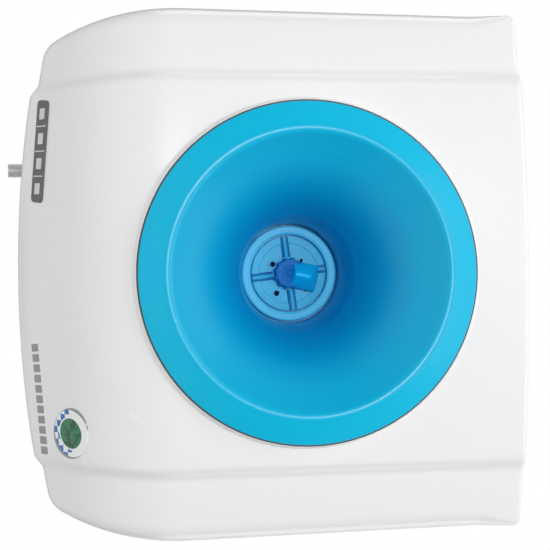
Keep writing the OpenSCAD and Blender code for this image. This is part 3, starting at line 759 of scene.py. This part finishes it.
class HEATER_OT_cover(bpy.types.Operator):
    """Front cover: one moulding, with the seat of the bowl, the middle band and the notch underneath"""
    bl_idname = "heater.cover"
    bl_label = "Front cover"

    def execute(self, context):
        sizes = context.scene.heater_case
        form = CaseForm(sizes)
        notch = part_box("inlet_collar")[1].x + 42.5 * MM
        loop = cover_columns(form, notch)
        normals = loop_normals(loop)
        rear, notch_rear = COVER_HIGH.y - 0.05 * MM, -62 * MM
        rings = []
        # The flat seat of the bowl, and the narrow skirt that falls from it to the front, in mm from the rim.
        skirt_start, skirt_width = 0.8, 1.9
        for reach in (-12, 0, skirt_start, 1.1, 1.4, 1.8, 2.2, 2.7, 3.4, 4.6, 6.2):
            radius = BOWL_HIGH.x + reach * MM
            share = smooth((reach - skirt_start) / skirt_width)
            ring = []
            for x, z in loop:
                way = Vector((x, z - AXIS_Z)).normalized()
                px, pz = way.x * radius, AXIS_Z + way.y * radius
                ring.append((px, SEAT_Y + (max(form.front(px, pz), SEAT_Y) - SEAT_Y) * share, pz))
            rings.append(ring)
        # How far the edge is rounded at each point, and how steep the front already is there.
        nip = []
        for (x, z), n in zip(loop, normals):
            from_top = form.top - z
            side = min(sizes.edge, sizes.top_edge + 0.5 * max(0.0, from_top - 4 * MM))
            nip.append(sizes.top_edge if n.y > 0.02 else side + (sizes.foot_edge - side) * max(0.0, -n.y))
        slant = []
        for p, n, c in zip(loop, normals, nip):
            a, b = Vector(p) - n * c * 0.9, Vector(p) - n * c * 0.3
            slant.append(min(1.35, max(0.0, math.atan2(form.front(*b) - form.front(*a), c * 0.6))))
        count, front_steps, edge_steps, side_steps = len(loop), 44, 8, 8
        slant = [sum(slant[(k + j) % count] for j in range(-3, 4)) / 7 for k in range(count)]
        inner = [Vector(p) - n * c * (1 - math.sin(a)) for p, n, c, a in zip(loop, normals, nip, slant)]
        start = [Vector((p[0], p[2])) for p in rings[-1]]
        for i in range(1, front_steps + 1):
            spots = [a.lerp(b, i / front_steps) for a, b in zip(start, inner)]
            rings.append([(p.x, form.front(p.x, p.y), p.y) for p in spots])
        for i in range(1, edge_steps + 1):
            ring = []
            for k, (x, z) in enumerate(loop):
                turn = slant[k] + (math.pi / 2 - slant[k]) * i / edge_steps
                p = Vector((x, z)) - normals[k] * nip[k] * (1 - math.sin(turn))
                drop = nip[k] * (math.cos(slant[k]) - math.cos(turn))
                ring.append((p.x, form.front(inner[k].x, inner[k].y) + drop, p.y))
            rings.append(ring)
        edge = rings[-1]
        ends = [notch_rear if abs(x) <= notch + 1e-6 and z < -100 * MM else rear for x, z in loop]
        for i in range(1, side_steps + 1):
            t = i / side_steps
            rings.append([(p[0], p[1] + (end - 0.6 * MM - p[1]) * t, p[2]) for p, end in zip(edge, ends)])
        rings.append([(p[0] - n.x * 0.4 * MM, end, p[2] - n.y * 0.4 * MM)
                      for p, end, n in zip(edge, ends, normals)])
        points = [p for ring in rings for p in ring]
        faces = [(r + k, r + count + k, r + count + (k + 1) % count, r + (k + 1) % count)
                 for r in range(0, (len(rings) - 1) * count, count) for k in range(count)]
        mesh = new_mesh("front_cover_shell", points, faces, 60)
        if sum(f.normal.y for f in mesh.polygons[:count]) > 0:
            mesh.flip_normals()
        cover = new_object("front_cover_shell", mesh)
        shell = cover.modifiers.new("Wall", "SOLIDIFY")
        shell.thickness, shell.offset = sizes.wall, -1
        apply_modifiers(cover)
        shaded(cover.data, 40)
        finish_piece(cover, "case_abs", "case_white", "front_cover")
        return {"FINISHED"}


# ---- the bowl and its throat ----

def flare_points(sizes, count, off=0.0):
    """Trumpet curve from the throat to the mouth, pushed back by off along its normal."""
    throat_y = RING_HIGH.y - 3 * MM
    depth = throat_y - (SEAT_Y - sizes.rim) + 2 * MM
    a = (sizes.mouth - sizes.throat) / (1 - math.cos(sizes.opening))
    b = depth / math.sin(sizes.opening)
    result = []
    for i in range(count + 1):
        t = sizes.opening * i / count
        normal = Vector((b * math.cos(t), a * math.sin(t))).normalized() * off
        radius = sizes.throat + a * (1 - math.cos(t))
        bead = 0.4 * MM * math.exp(-((radius - sizes.bead) / (0.8 * MM)) ** 2) if off == 0 else 0
        result.append((radius + normal.x - bead * 0.6, throat_y - b * math.sin(t) + normal.y - bead * 0.8))
    return result


class HEATER_OT_bowl(bpy.types.Operator):
    """Bowl: the rim, the raised rounded lip, the flare and the floor of the throat"""
    bl_idname = "heater.bowl"
    bl_label = "Bowl"

    def execute(self, context):
        s = context.scene.heater_bowl
        rim = BOWL_HIGH.x
        rim_y, floor = SEAT_Y - s.rim, RING_HIGH.y
        floor_hole, foot_radius, seal_radius = 17.5 * MM, 71.5 * MM, 82 * MM
        lip_radius = 4.2 * MM
        lip = (70.5 * MM, BOWL_LOW.y + lip_radius)
        leaving = math.radians(48)  # the lip's slope where the flare takes over
        profile = [(rim - 0.2 * MM, SEAT_Y + 0.02 * MM), (rim, SEAT_Y - 0.3 * MM)]
        profile += arc((rim - 0.8 * MM, rim_y + 0.8 * MM), 0.8 * MM, 0, -66, 5)
        lip_arc = arc(lip, lip_radius, -66, -132, 12)
        flare = list(reversed(flare_points(s, 110)))[17:]
        start, end = Vector(lip_arc[-1]), Vector(flare[0])
        way = (end - start).length / 3
        leave = start + Vector((-math.sin(leaving), math.cos(leaving))) * way
        arrive = end + (end - Vector(flare[1])).normalized() * way
        blend = [(1 - t) ** 3 * start + 3 * t * (1 - t) ** 2 * leave
                 + 3 * t * t * (1 - t) * arrive + t ** 3 * end for t in (i / 12 for i in range(1, 12))]
        profile += lip_arc + [tuple(p) for p in blend] + flare
        profile += [(s.throat, floor - 0.6 * MM), (s.throat, floor), (floor_hole, floor),
                    (floor_hole, floor + s.skin), (s.throat + s.skin, floor + s.skin)]
        profile += flare_points(s, 24, s.skin)
        profile += [(foot_radius, SEAT_Y + 0.02 * MM)]
        turned_piece("bowl_moulding", profile, (0, AXIS_Z), "bowl_abs", "bowl_blue", "bowl", segments=192)
        # The seal's lip stands just outside the rim's edge and shows as a thin dark line round the bowl: a
        # real seal, which also stands in as painted shadow for the gap between the rim and the case.
        gap = SEAT_Y + 0.05 * MM
        profile = [(seal_radius, gap + 0.7 * MM), (rim + 0.65 * MM, gap - 0.04 * MM),
                   (rim + 0.75 * MM, gap - 0.75 * MM), (rim + 0.1 * MM, gap - 0.95 * MM),
                   (seal_radius, gap - 0.1 * MM)]
        turned_piece("bowl_gasket", profile, (0, AXIS_Z), "seal_rubber", "seal_rubber", "bowl_seal",
                     segments=192)
        return {"FINISHED"}


def turned_to_lean(mesh, lean):
    """Turns a mesh from upright to its lean and puts it on the bowl's axis."""
    mesh.transform(Matrix.Translation((0, 0, AXIS_Z)) @ Matrix.Rotation(-lean, 4, "Y"))


def rib_mesh(inner, outer, width, base, top):
    """One rib along +X: a low bar with a groove down the middle of its crown."""
    edge, groove = 0.35 * MM, 0.3 * MM
    half, slot = width / 2, width * 0.17
    section = [(-half, base), (-half, top + edge), (-half + edge, top), (-slot - 0.15 * MM, top),
               (-slot, top + groove), (slot, top + groove), (slot + 0.15 * MM, top), (half - edge, top),
               (half, top + edge), (half, base)]
    points = [(x, y, z) for x in (inner, inner + edge, outer) for z, y in section]
    for k, (z, y) in enumerate(section):
        points[k] = (inner, max(y, top + edge), z)
    n = len(section)
    faces = [(a * n + i, a * n + i + 1, (a + 1) * n + i + 1, (a + 1) * n + i)
             for a in (0, 1) for i in range(n - 1)]
    faces += [(0, n, 2 * n, 3 * n - 1, 2 * n - 1, n - 1)]
    faces += [tuple(range(n)), tuple(reversed(range(2 * n, 3 * n)))]
    return outward(new_mesh("rib", points, faces, 50))


class HEATER_OT_throat(bpy.types.Operator):
    """Throat ring, and the lamp disc with its four ribs and four lamp windows"""
    bl_idname = "heater.throat"
    bl_label = "Ring and lamp disc"

    def execute(self, context):
        lean = context.scene.heater_knob.lean
        floor, front = RING_HIGH.y, RING_LOW.y
        ring_out, ring_in = RING_HIGH.x, 20.6 * MM
        profile = rounded([(ring_in, floor), (ring_out, floor), (ring_out, front + 0.7 * MM),
                           (ring_out - 0.8 * MM, front), (ring_in + 1.1 * MM, front),
                           (ring_in + 0.7 * MM, front + 0.25 * MM), (ring_in, front + 0.5 * MM)], 0.3 * MM)
        turned_piece("throat_ring_moulding", profile, (0, AXIS_Z), "ring_abs", "ring_blue", "throat_ring",
                     segments=128)
        face = floor - 2.2 * MM
        sunk, groove = face + 0.05 * MM, face + 0.35 * MM
        outer, hub_hole = 19.9 * MM, 3.6 * MM
        profile = [(hub_hole, floor), (outer, floor)]
        profile += arc((outer - 0.4 * MM, face + 0.4 * MM), 0.4 * MM, 0, -90, 4)
        profile += [(16.1 * MM, face), (15.7 * MM, groove), (9 * MM, groove), (8.7 * MM, sunk),
                    (4 * MM, sunk), (hub_hole, face + 0.3 * MM)]
        disc = new_object("lamp_disc_plate", lathe_mesh("disc", profile, (0, 0), segments=128))
        windows = bmesh.new()
        for quarter in range(4):
            turn = math.radians(45 + 90 * quarter)
            size = (1.4 if math.sin(turn) < 0 else 0.95) * MM
            place = Matrix.Translation((WINDOW_SHIFT + WINDOW_CIRCLE * math.cos(turn), floor,
                                        WINDOW_CIRCLE * math.sin(turn)))
            bmesh.ops.create_cone(windows, cap_ends=True, segments=32, radius1=size, radius2=size,
                                  depth=12 * MM, matrix=place @ Matrix.Rotation(math.pi / 2, 4, "X"))
        cut_away(disc, "windows", windows)
        shaded(disc.data, 35)
        turned_to_lean(disc.data, lean)
        finish_piece(disc, "disc_abs", "disc_blue", "lamp_disc")
        # Painted shadow: the wide, low, dark plate under each rib stands in for the shadow on both sides of
        # it; the narrow lighter bar on top is the rib itself.
        for name, width, top, finish in (("lamp_disc_channels", 4.4, 0.25, "channel_abs"),
                                         ("lamp_disc_ribs", 1.7, 1.2, "disc_abs")):
            shape = rib_mesh(8.6 * MM, outer - 0.2 * MM, width * MM, face + 0.1 * MM, face - top * MM)
            throat_copies(name, round_axis_tree(), points_mesh(), new_object("rib", shape), lean, finish,
                          "disc_blue", Count=4, Start=0.0)
        profile = rounded([(1.4 * MM, face + 0.2 * MM), (2.3 * MM, face + 0.2 * MM),
                           (2.2 * MM, face - 0.25 * MM), (1.5 * MM, face - 0.25 * MM)], 0.2 * MM)
        collar = new_object("collar", lathe_mesh("collar", profile, (0, 0), segments=40))
        places = points_mesh(*((WINDOW_SHIFT + WINDOW_CIRCLE * x, 0, -WINDOW_CIRCLE * math.sqrt(0.5))
                               for x in (-math.sqrt(0.5), math.sqrt(0.5))))
        throat_copies("lamp_window_collars", on_points_tree(), places, collar, lean, "ring_abs", "disc_blue")
        return {"FINISHED"}


class HEATER_OT_knob(bpy.types.Operator):
    """Control knob: toothed hub with a gabled grip on one side"""
    bl_idname = "heater.knob"
    bl_label = "Control knob"

    def execute(self, context):
        s = context.scene.heater_knob
        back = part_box("control_knob")[1].y
        crown, root = back - 5 * MM, s.hub - 0.7 * MM
        profile = [(AXIS_HOLE, back), (root, back)]
        profile += arc((root - 0.8 * MM, crown + 0.8 * MM), 0.8 * MM, 0, -90, 5)
        profile += [(4.6 * MM, crown), (4.3 * MM, crown + 0.4 * MM), (2.3 * MM, crown + 0.5 * MM)]
        profile += arc((0, crown + 3.6 * MM), 3.6 * MM, -56, -89.8, 5)
        hub = new_object("knob_hub", lathe_mesh("hub", profile, (0, 0), segments=96))
        turned_to_lean(hub.data, -s.grip_turn)
        finish_piece(hub, "hub_abs", "knob_blue", "control_knob", body="knob")
        shape = bmesh.new()
        place = Matrix.Translation((s.hub - 1.2 * MM, back - 2.35 * MM, 0))
        size = Matrix.Diagonal((2.4 * MM, 4.5 * MM, 2.1 * MM, 1))
        bmesh.ops.create_cube(shape, size=1, matrix=place @ size)
        bmesh.ops.bevel(shape, geom=shape.edges[:], offset=0.5 * MM, segments=3, affect="EDGES", profile=0.5)
        tooth = new_object("tooth", mesh_from("tooth", shape))
        tooth.data.shade_smooth()
        throat_copies("knob_teeth", round_axis_tree(), points_mesh(), tooth, -s.grip_turn, "hub_abs",
                      "knob_blue", "knob", Count=s.teeth, Start=0.0)
        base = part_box("lamp_disc")[0].y - 0.5 * MM
        half, reach, ridge = s.grip_width / 2, s.grip_reach, base - 10.6 * MM
        corners = [(x, y, z) for x in (-half, half) for y in (base, base - 1.6 * MM) for z in (1 * MM, reach)]
        corners += [(x, ridge, z) for x in (-0.8 * MM, 0.8 * MM) for z in (1.6 * MM, reach - 5.2 * MM)]
        shape = bmesh.new()
        for corner in corners:
            shape.verts.new(corner)
        bmesh.ops.convex_hull(shape, input=shape.verts)
        bmesh.ops.dissolve_limit(shape, angle_limit=0.02, verts=shape.verts, edges=shape.edges)
        bmesh.ops.bevel(shape, geom=shape.edges[:], offset=0.55 * MM, segments=4, affect="EDGES", profile=0.5)
        grip = new_object("knob_grip", mesh_from("grip", shape))
        grip.data.shade_smooth()
        outward(grip.data)
        turned_to_lean(grip.data, -s.grip_turn)
        finish_piece(grip, "knob_abs", "knob_blue", body="knob")
        return {"FINISHED"}


# ---- markings ----

def plaque_mesh(name, form, centre, outline, lift, lean=0.0, rings=8):
    """A thin plaque on the front of the case. outline is in metres, across and up the slope from centre."""
    sunk, bevel = 0.3 * MM, 0.15 * MM
    cos, sin = math.cos(lean), math.sin(lean)
    outline = [(u * cos - v * sin, u * sin + v * cos) for u, v in outline]

    def place(u, v, off):
        return form.point(centre[0] + u, centre[1] + v * math.cos(form.s.slope), off)
    count = len(outline)
    size = max(max(abs(u), abs(v)) for u, v in outline)
    shares = [(1 - bevel / size) * (1 - i / rings) for i in range(rings)]
    points = [place(u * share, v * share, off) for share, off in
              ((1, -sunk), (1, lift - bevel), *((share, lift) for share in shares)) for u, v in outline]
    points.append(place(0, 0, lift))
    last = (rings + 1) * count
    faces = [(r + k, r + (k + 1) % count, r + count + (k + 1) % count, r + count + k)
             for r in range(0, last, count) for k in range(count)]
    faces += [(last + k, last + (k + 1) % count, len(points) - 1) for k in range(count)]
    faces.append(tuple(reversed(range(count))))
    return outward(new_mesh(name, points, faces, 40))


def rectangle(width, height, radius):
    """Closed outline of a rectangle with rounded corners and sample points along its sides."""
    corners = rounded([(-width / 2, -height / 2), (width / 2, -height / 2), (width / 2, height / 2),
                       (-width / 2, height / 2)], radius * 2, 6)
    result = []
    for i, p in enumerate(corners):
        q = corners[(i + 1) % len(corners)]
        steps = max(1, round((Vector(q) - Vector(p)).length / (4 * MM)))
        result += [tuple(Vector(p).lerp(Vector(q), k / steps)) for k in range(steps)]
    return result


class HEATER_OT_marks(bpy.types.Operator):
    """Name strip with plain blocks, product strip with plain bars, and the round badge"""
    bl_idname = "heater.marks"
    bl_label = "Strips and badge"

    def execute(self, context):
        form = CaseForm(context.scene.heater_case)
        upright = math.pi / 2 + form.s.slope
        tree = bulge_row_tree()
        # Each row of blocks is their number, pitch, width, height and corner, in mm.
        for node, width, height, lift, lean, finish, slot, print_finish, rows in (
                ("name_strip", 52, 8.4, 0.7, -form.s.strip_lean, "strip_print", "strip_grey", "pale_print",
                 ((4, 12.6, 5.6, 3.8, 0.4), (3, 12.6, 0.6, 7, 0.1))),
                ("model_strip", 58, 7, 0.12, form.s.strip_lean, "case_abs", "strip_silver", "bar_print",
                 ((11, 5.2, 3.9, 5, 0.4),))):
            low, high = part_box(node)
            centre = ((low.x + high.x) / 2, (low.z + high.z) / 2)
            outline = rectangle(width * MM, height * MM, 1.2 * MM)
            strip = new_object(node + "_plate", plaque_mesh(node, form, centre, outline, lift * MM, lean))
            finish_piece(strip, finish, slot, node)
            place = form.point(*centre, lift * MM - 0.1 * MM)
            reach = math.hypot(place.x, form.axis - place.y)
            for count, pitch, block, tall, corner in rows:
                blocks = grow(node + "_blocks", tree, points_mesh(), Count=count,
                              First=centre[0] - pitch * MM * (count - 1) / 2, Pitch=pitch * MM,
                              Width=block * MM, Height=tall * MM, Corner=corner * MM,
                              Thickness=0.22 * MM, Bulge=reach,
                              Axis=form.axis, Level=place.z, Slope=upright, Lean=lean,
                              Material=material(print_finish))
                finish_piece(blocks, print_finish, slot)
        low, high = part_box("round_badge")
        centre, radius = ((low.x + high.x) / 2, (low.z + high.z) / 2), (high.x - low.x) / 2
        circle = arc((0, 0), radius, 0, 360, 72)[:-1]
        badge = new_object("badge_disc", plaque_mesh("badge", form, centre, circle, 0.55 * MM))
        film = badge_film("badge_film", form.point(*centre, 0.5 * MM), upright, radius,
                          context.scene.heater_colours)
        finish_piece(badge, film, "badge_film", "round_badge")
        return {"FINISHED"}


# ---- fittings of the underside ----

def round_box(node):
    """Middle in plan, radius, foot and top of an upright round node."""
    low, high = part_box(node)
    return ((low.x + high.x) / 2, (low.y + high.y) / 2), (high.x - low.x) / 2, low.z, high.z


def thread_profile(start, end, crest, root, pitch):
    """Points of a thread's crests and roots between two heights."""
    flat, profile = 0.22 * MM, []
    while start < end:
        profile += [(crest, start), (crest, start + flat), (root, start + pitch / 2),
                    (root, start + pitch / 2 + flat)]
        start += pitch
    return profile


class HEATER_OT_fittings(bpy.types.Operator):
    """Threaded water connections, coloured collars, relief nozzle, cable gland and reset button"""
    bl_idname = "heater.fittings"
    bl_label = "Underside fittings"

    def execute(self, context):
        thread, root, bore = 10.48 * MM, 10.48 * MM - 1.1 * MM, 7.5 * MM  # half-inch pipe thread
        for node in ("inlet_pipe", "outlet_pipe"):
            place, shoulder, foot, top = round_box(node)
            profile = [(bore + 0.6 * MM, foot), (root, foot), (thread - 0.2 * MM, foot + 1 * MM)]
            profile += thread_profile(foot + 1.6 * MM, PLATE_TOP - 3.4 * MM, thread, root, 1.814 * MM)
            profile += [(root, PLATE_TOP - 1.2 * MM), (thread, PLATE_TOP - 0.6 * MM), (thread, PLATE_TOP),
                        (shoulder, PLATE_TOP), (shoulder, top), (bore, top), (bore, foot + 0.6 * MM)]
            turned_piece(node + "_threaded", profile, place, "drawn_stainless", "stainless", node,
                         axis="Z", segments=72, sharp=25)
        inside = 11.28 * MM
        for node, finish, slot in (("inlet_collar", "cold_plastic", "inlet_blue"),
                                   ("outlet_collar", "hot_plastic", "outlet_red")):
            place, out, foot, top = round_box(node)
            profile = rounded([(inside, top), (out, top), (out, foot), (inside, foot)], 0.8 * MM)
            turned_piece(node + "_ring", profile, place, finish, slot, node, axis="Z", segments=72)
        place, shoulder, foot, top = round_box("relief_body")
        out, bore, edge = 3.9 * MM, 2.5 * MM, 0.4 * MM
        profile = [(bore, foot + edge), (bore + edge, foot), (out - edge, foot)]
        profile += arc((out - edge, foot + edge), edge, -90, 0, 4)[1:]
        profile += [(out, PLATE_TOP), (shoulder, PLATE_TOP), (shoulder, top), (bore, top)]
        turned_piece("relief_nozzle", profile, place, "satin_nickel", "stainless", "relief_body",
                     axis="Z", segments=64, sharp=25)
        place, flange, foot, top = round_box("cable_gland")
        bore, neck = 4.5 * MM, 7 * MM
        profile = [(bore, top), (neck, top), (neck, UNDERSIDE)]
        profile += rounded([(flange, UNDERSIDE), (flange, foot + 2.4 * MM), (flange - 2.6 * MM, foot)],
                           0.8 * MM)
        profile += [(5.2 * MM, foot), (bore, foot + 0.7 * MM)]
        turned_piece("cable_gland_body", profile, place, "black_nylon", "black_plastic", "cable_gland",
                     axis="Z", segments=72, sharp=30)
        place, collar, foot, top = round_box("reset_button")
        stem, shelf = 2.5 * MM, top - 1.2 * MM
        profile = [(AXIS_HOLE, foot + 0.25 * MM), (1.6 * MM, foot)]
        profile += arc((stem - 0.6 * MM, foot + 0.6 * MM), 0.6 * MM, -90, 0, 4)
        profile += [(stem, shelf), (collar, shelf), (collar, top), (AXIS_HOLE, top)]
        turned_piece("reset_button_cap", profile, place, "hot_plastic", "outlet_red", "reset_button",
                     body="reset", axis="Z", segments=48, sharp=30)
        return {"FINISHED"}


class HEATER_OT_screws(bpy.types.Operator):
    """Cross-headed screws that hold the cover, seen in the back plate's pockets"""
    bl_idname = "heater.screws"
    bl_label = "Cover screws"

    def execute(self, context):
        found = islands("cover_screws")
        end = found[0][1].y
        head, shank, under_head = 3.8 * MM, 1.85 * MM, end - 3 * MM
        profile = [(AXIS_HOLE, -end), (1.2 * MM, -end + 0.9 * MM), (shank, -end + 2.2 * MM),
                   (shank, under_head), (head, under_head)]
        profile += arc((head - 1.2 * MM, end - 1.2 * MM), 1.2 * MM, -20, 80, 6)
        profile += [(AXIS_HOLE, end)]
        screw = new_object("screw", lathe_mesh("screw", profile, (0, 0), segments=40))
        cross = bmesh.new()
        slot = Matrix.Diagonal((4.4 * MM, 2.8 * MM, 0.9 * MM, 1))
        for turn in (0, math.pi / 2):
            bmesh.ops.create_cube(cross, size=1, matrix=Matrix.Translation((0, end, 0))
                                  @ Matrix.Rotation(turn, 4, "Y") @ slot)
        cut_away(screw, "cross", cross, overlapping=True)
        screws = grow("cover_screw_set", on_points_tree(), points_mesh(*(centre for centre, _ in found)),
                      Part=screw, Material=material("zinc_plate"))
        bpy.data.objects.remove(screw)
        screws.data.set_sharp_from_angle(angle=math.radians(35))
        finish_piece(screws, "zinc_plate", "zinc_steel", "cover_screws")
        return {"FINISHED"}


class HEATER_OT_springs(bpy.types.Operator):
    """Coil springs of the relief valve and the reset button"""
    bl_idname = "heater.springs"
    bl_label = "Springs"

    def execute(self, context):
        for node, joint, travel, held_low in (("relief_spring", "relief_open", 2.5 * MM, True),
                                              ("reset_spring", "reset_press", 2 * MM, False)):
            coil = new_object(node + "_coil", outward(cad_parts[node].data.copy()))
            shaded(coil.data, 60)
            finish_piece(coil, "spring_steel", "zinc_steel", node)
            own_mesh(coil)
        return {"FINISHED"}


INSIDE = {
    "case_abs": ("back_plate",),
    "zinc_plate": ("bowl_screws", "knob_spindle", "thermostat_bracket", "bulb_clips", "board_screws",
                   "element_terminals", "flange_studs", "upper_tank_strap", "lower_tank_strap",
                   "strap_screws"),
    "cream_bakelite": ("thermostat_body", "terminal_block"),
    "turned_brass": ("thermostat_capillary", "element_flange", "relief_poppet", "earth_stud", "fusible_plug"),
    "green_board": ("lamp_board",),
    "lamp_epoxy": ("indicator_lamps",),
    "stainless_sheet": ("tank_shell", "tank_top", "tank_bottom_plate"),
    "drawn_stainless": ("outlet_standpipe",),
    "black_rubber": ("element_gasket",),
    "black_nylon": ("cutout_body", "gland_nut"),
    "copper_sheath": ("heating_element",),
    "wire_sleeve": ("wire_harness",),
}


class HEATER_OT_inside(bpy.types.Operator):
    """Materials of the pieces that keep their CAD shape: the back plate and everything inside"""
    bl_idname = "heater.inside"
    bl_label = "Inner pieces"

    def execute(self, context):
        for name, nodes in INSIDE.items():
            for node in nodes:
                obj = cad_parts[node]
                obj.data.materials.clear()
                obj.data.materials.append(material(name))
        return {"FINISHED"}


# ---- stage ----

# Each light's name, place, target, size and watts.
LIGHTS = (
    ("key", (0, -1.2, 1.15), (0, -0.15, 0), (1.6, 0.7), 8.6),
    ("front", (-0.2, -1.85, 0.12), (0, -0.15, 0), (0.4, 0.4), 13.6),
    ("above", (0, 0.5, 3.2), (0, 0.5, 0), (4, 4), 27),
    ("back", (0.9, 1.5, 0.6), (0, 0, 0), (2.2, 2.2), 13),
    ("side", (-1.7, 0.25, 0.35), (0, -0.1, 0), (0.9, 0.9), 5),
    ("side", (1.7, 0.25, 0.35), (0, -0.1, 0), (0.9, 0.9), 5),
)


def area_light(name, place, target, size, watts):
    light = bpy.data.lights.new(name, "AREA")
    light.shape, light.size, light.size_y, light.energy = "RECTANGLE", size[0], size[1], watts
    lamp = bpy.data.objects.new(name, light)
    lamp.location = place
    lamp.rotation_euler = (Vector(target) - Vector(place)).to_track_quat("-Z", "Y").to_euler()
    bpy.context.scene.collection.objects.link(lamp)


class HEATER_OT_stage(bpy.types.Operator):
    """Pale floor, soft studio light and the camera"""
    bl_idname = "heater.stage"
    bl_label = "Stage"

    def execute(self, context):
        corners = [(x * 4, y * 4, -1.3) for x, y in ((-1, -1), (1, -1), (1, 1), (-1, 1))]
        floor = new_object("floor", new_mesh("floor", corners, [(0, 1, 2, 3)]))
        floor_material, _, _ = new_material("pale_floor", linear("F2F2F2"), 0.8)
        floor.data.materials.append(floor_material)
        world = bpy.data.worlds.new("studio")
        world.use_nodes = True
        tree = world.node_tree
        seen = add(tree, "ShaderNodeLightPath")
        where = add(tree, "ShaderNodeTexCoord")
        height = add(tree, "ShaderNodeSeparateXYZ", {"Vector": where.outputs["Generated"]})
        sky = add(tree, "ShaderNodeMapRange", {"Value": height.outputs["Z"], "From Min": -0.6,
                                               "From Max": 0.9, "To Min": 0.05, "To Max": 0.36})
        glow = add(tree, "ShaderNodeMix",
                   {"Factor": seen.outputs["Is Camera Ray"], 2: sky.outputs[0], 3: 1.0})
        tree.links.new(glow.outputs[0], tree.nodes["Background"].inputs["Strength"])
        tree.nodes["Background"].inputs["Color"].default_value = (1, 1, 1, 1)
        context.scene.world = world
        for values in LIGHTS:
            area_light(*values)
        # The eye is below the bowl's axis, and the camera lies on its side.
        rim = Vector((0.8 * MM, SEAT_Y - context.scene.heater_bowl.rim, -2.2 * MM))
        tilt, roll, distance = math.radians(9.4), math.radians(0.7), 0.68
        ahead = Vector((0, math.cos(tilt), math.sin(tilt)))
        upright, sideways = Vector((0, -math.sin(tilt), math.cos(tilt))), Vector((-1, 0, 0))
        right = upright * math.cos(roll) - sideways * math.sin(roll)
        up = upright * math.sin(roll) + sideways * math.cos(roll)
        camera = bpy.data.objects.new("camera", bpy.data.cameras.new("camera"))
        camera.data.lens = 91.8
        aim = Matrix((right, up, -ahead)).transposed().to_4x4()
        camera.matrix_world = Matrix.Translation(rim - ahead * distance) @ aim
        context.scene.collection.objects.link(camera)
        context.scene.camera = camera
        context.scene.view_settings.view_transform = "Standard"
        return {"FINISHED"}


class HEATER_PT_panel(bpy.types.Panel):
    """Lists the heater's pieces and sizes"""
    bl_idname = "HEATER_PT_panel"
    bl_label = "Instant Water Heater"
    bl_space_type = "VIEW_3D"
    bl_region_type = "UI"
    bl_category = "Heater"

    def draw(self, context):
        for operator in OPERATORS:
            self.layout.operator(operator.bl_idname)
        for group in GROUPS:
            for key in GROUPS[group].__annotations__:
                self.layout.prop(getattr(context.scene, group), key)


OPERATORS = (HEATER_OT_cover, HEATER_OT_bowl, HEATER_OT_throat, HEATER_OT_knob, HEATER_OT_marks,
             HEATER_OT_fittings, HEATER_OT_screws, HEATER_OT_springs, HEATER_OT_inside, HEATER_OT_stage)
GROUPS = {"heater_case": HeaterCase, "heater_bowl": HeaterBowl, "heater_knob": HeaterKnob,
          "heater_colours": HeaterColours}


def register():
    for cls in (*GROUPS.values(), *OPERATORS, HEATER_PT_panel):
        bpy.utils.register_class(cls)
    for name, group in GROUPS.items():
        setattr(bpy.types.Scene, name, PointerProperty(type=group))


def unregister():
    for name in GROUPS:
        delattr(bpy.types.Scene, name)
    for cls in (HEATER_PT_panel, *reversed(OPERATORS), *reversed(GROUPS.values())):
        bpy.utils.unregister_class(cls)


def main():
    register()
    for operator in OPERATORS:
        group, name = operator.bl_idname.split(".")
        getattr(getattr(bpy.ops, group), name)()


if __name__ == "__main__":
    main()
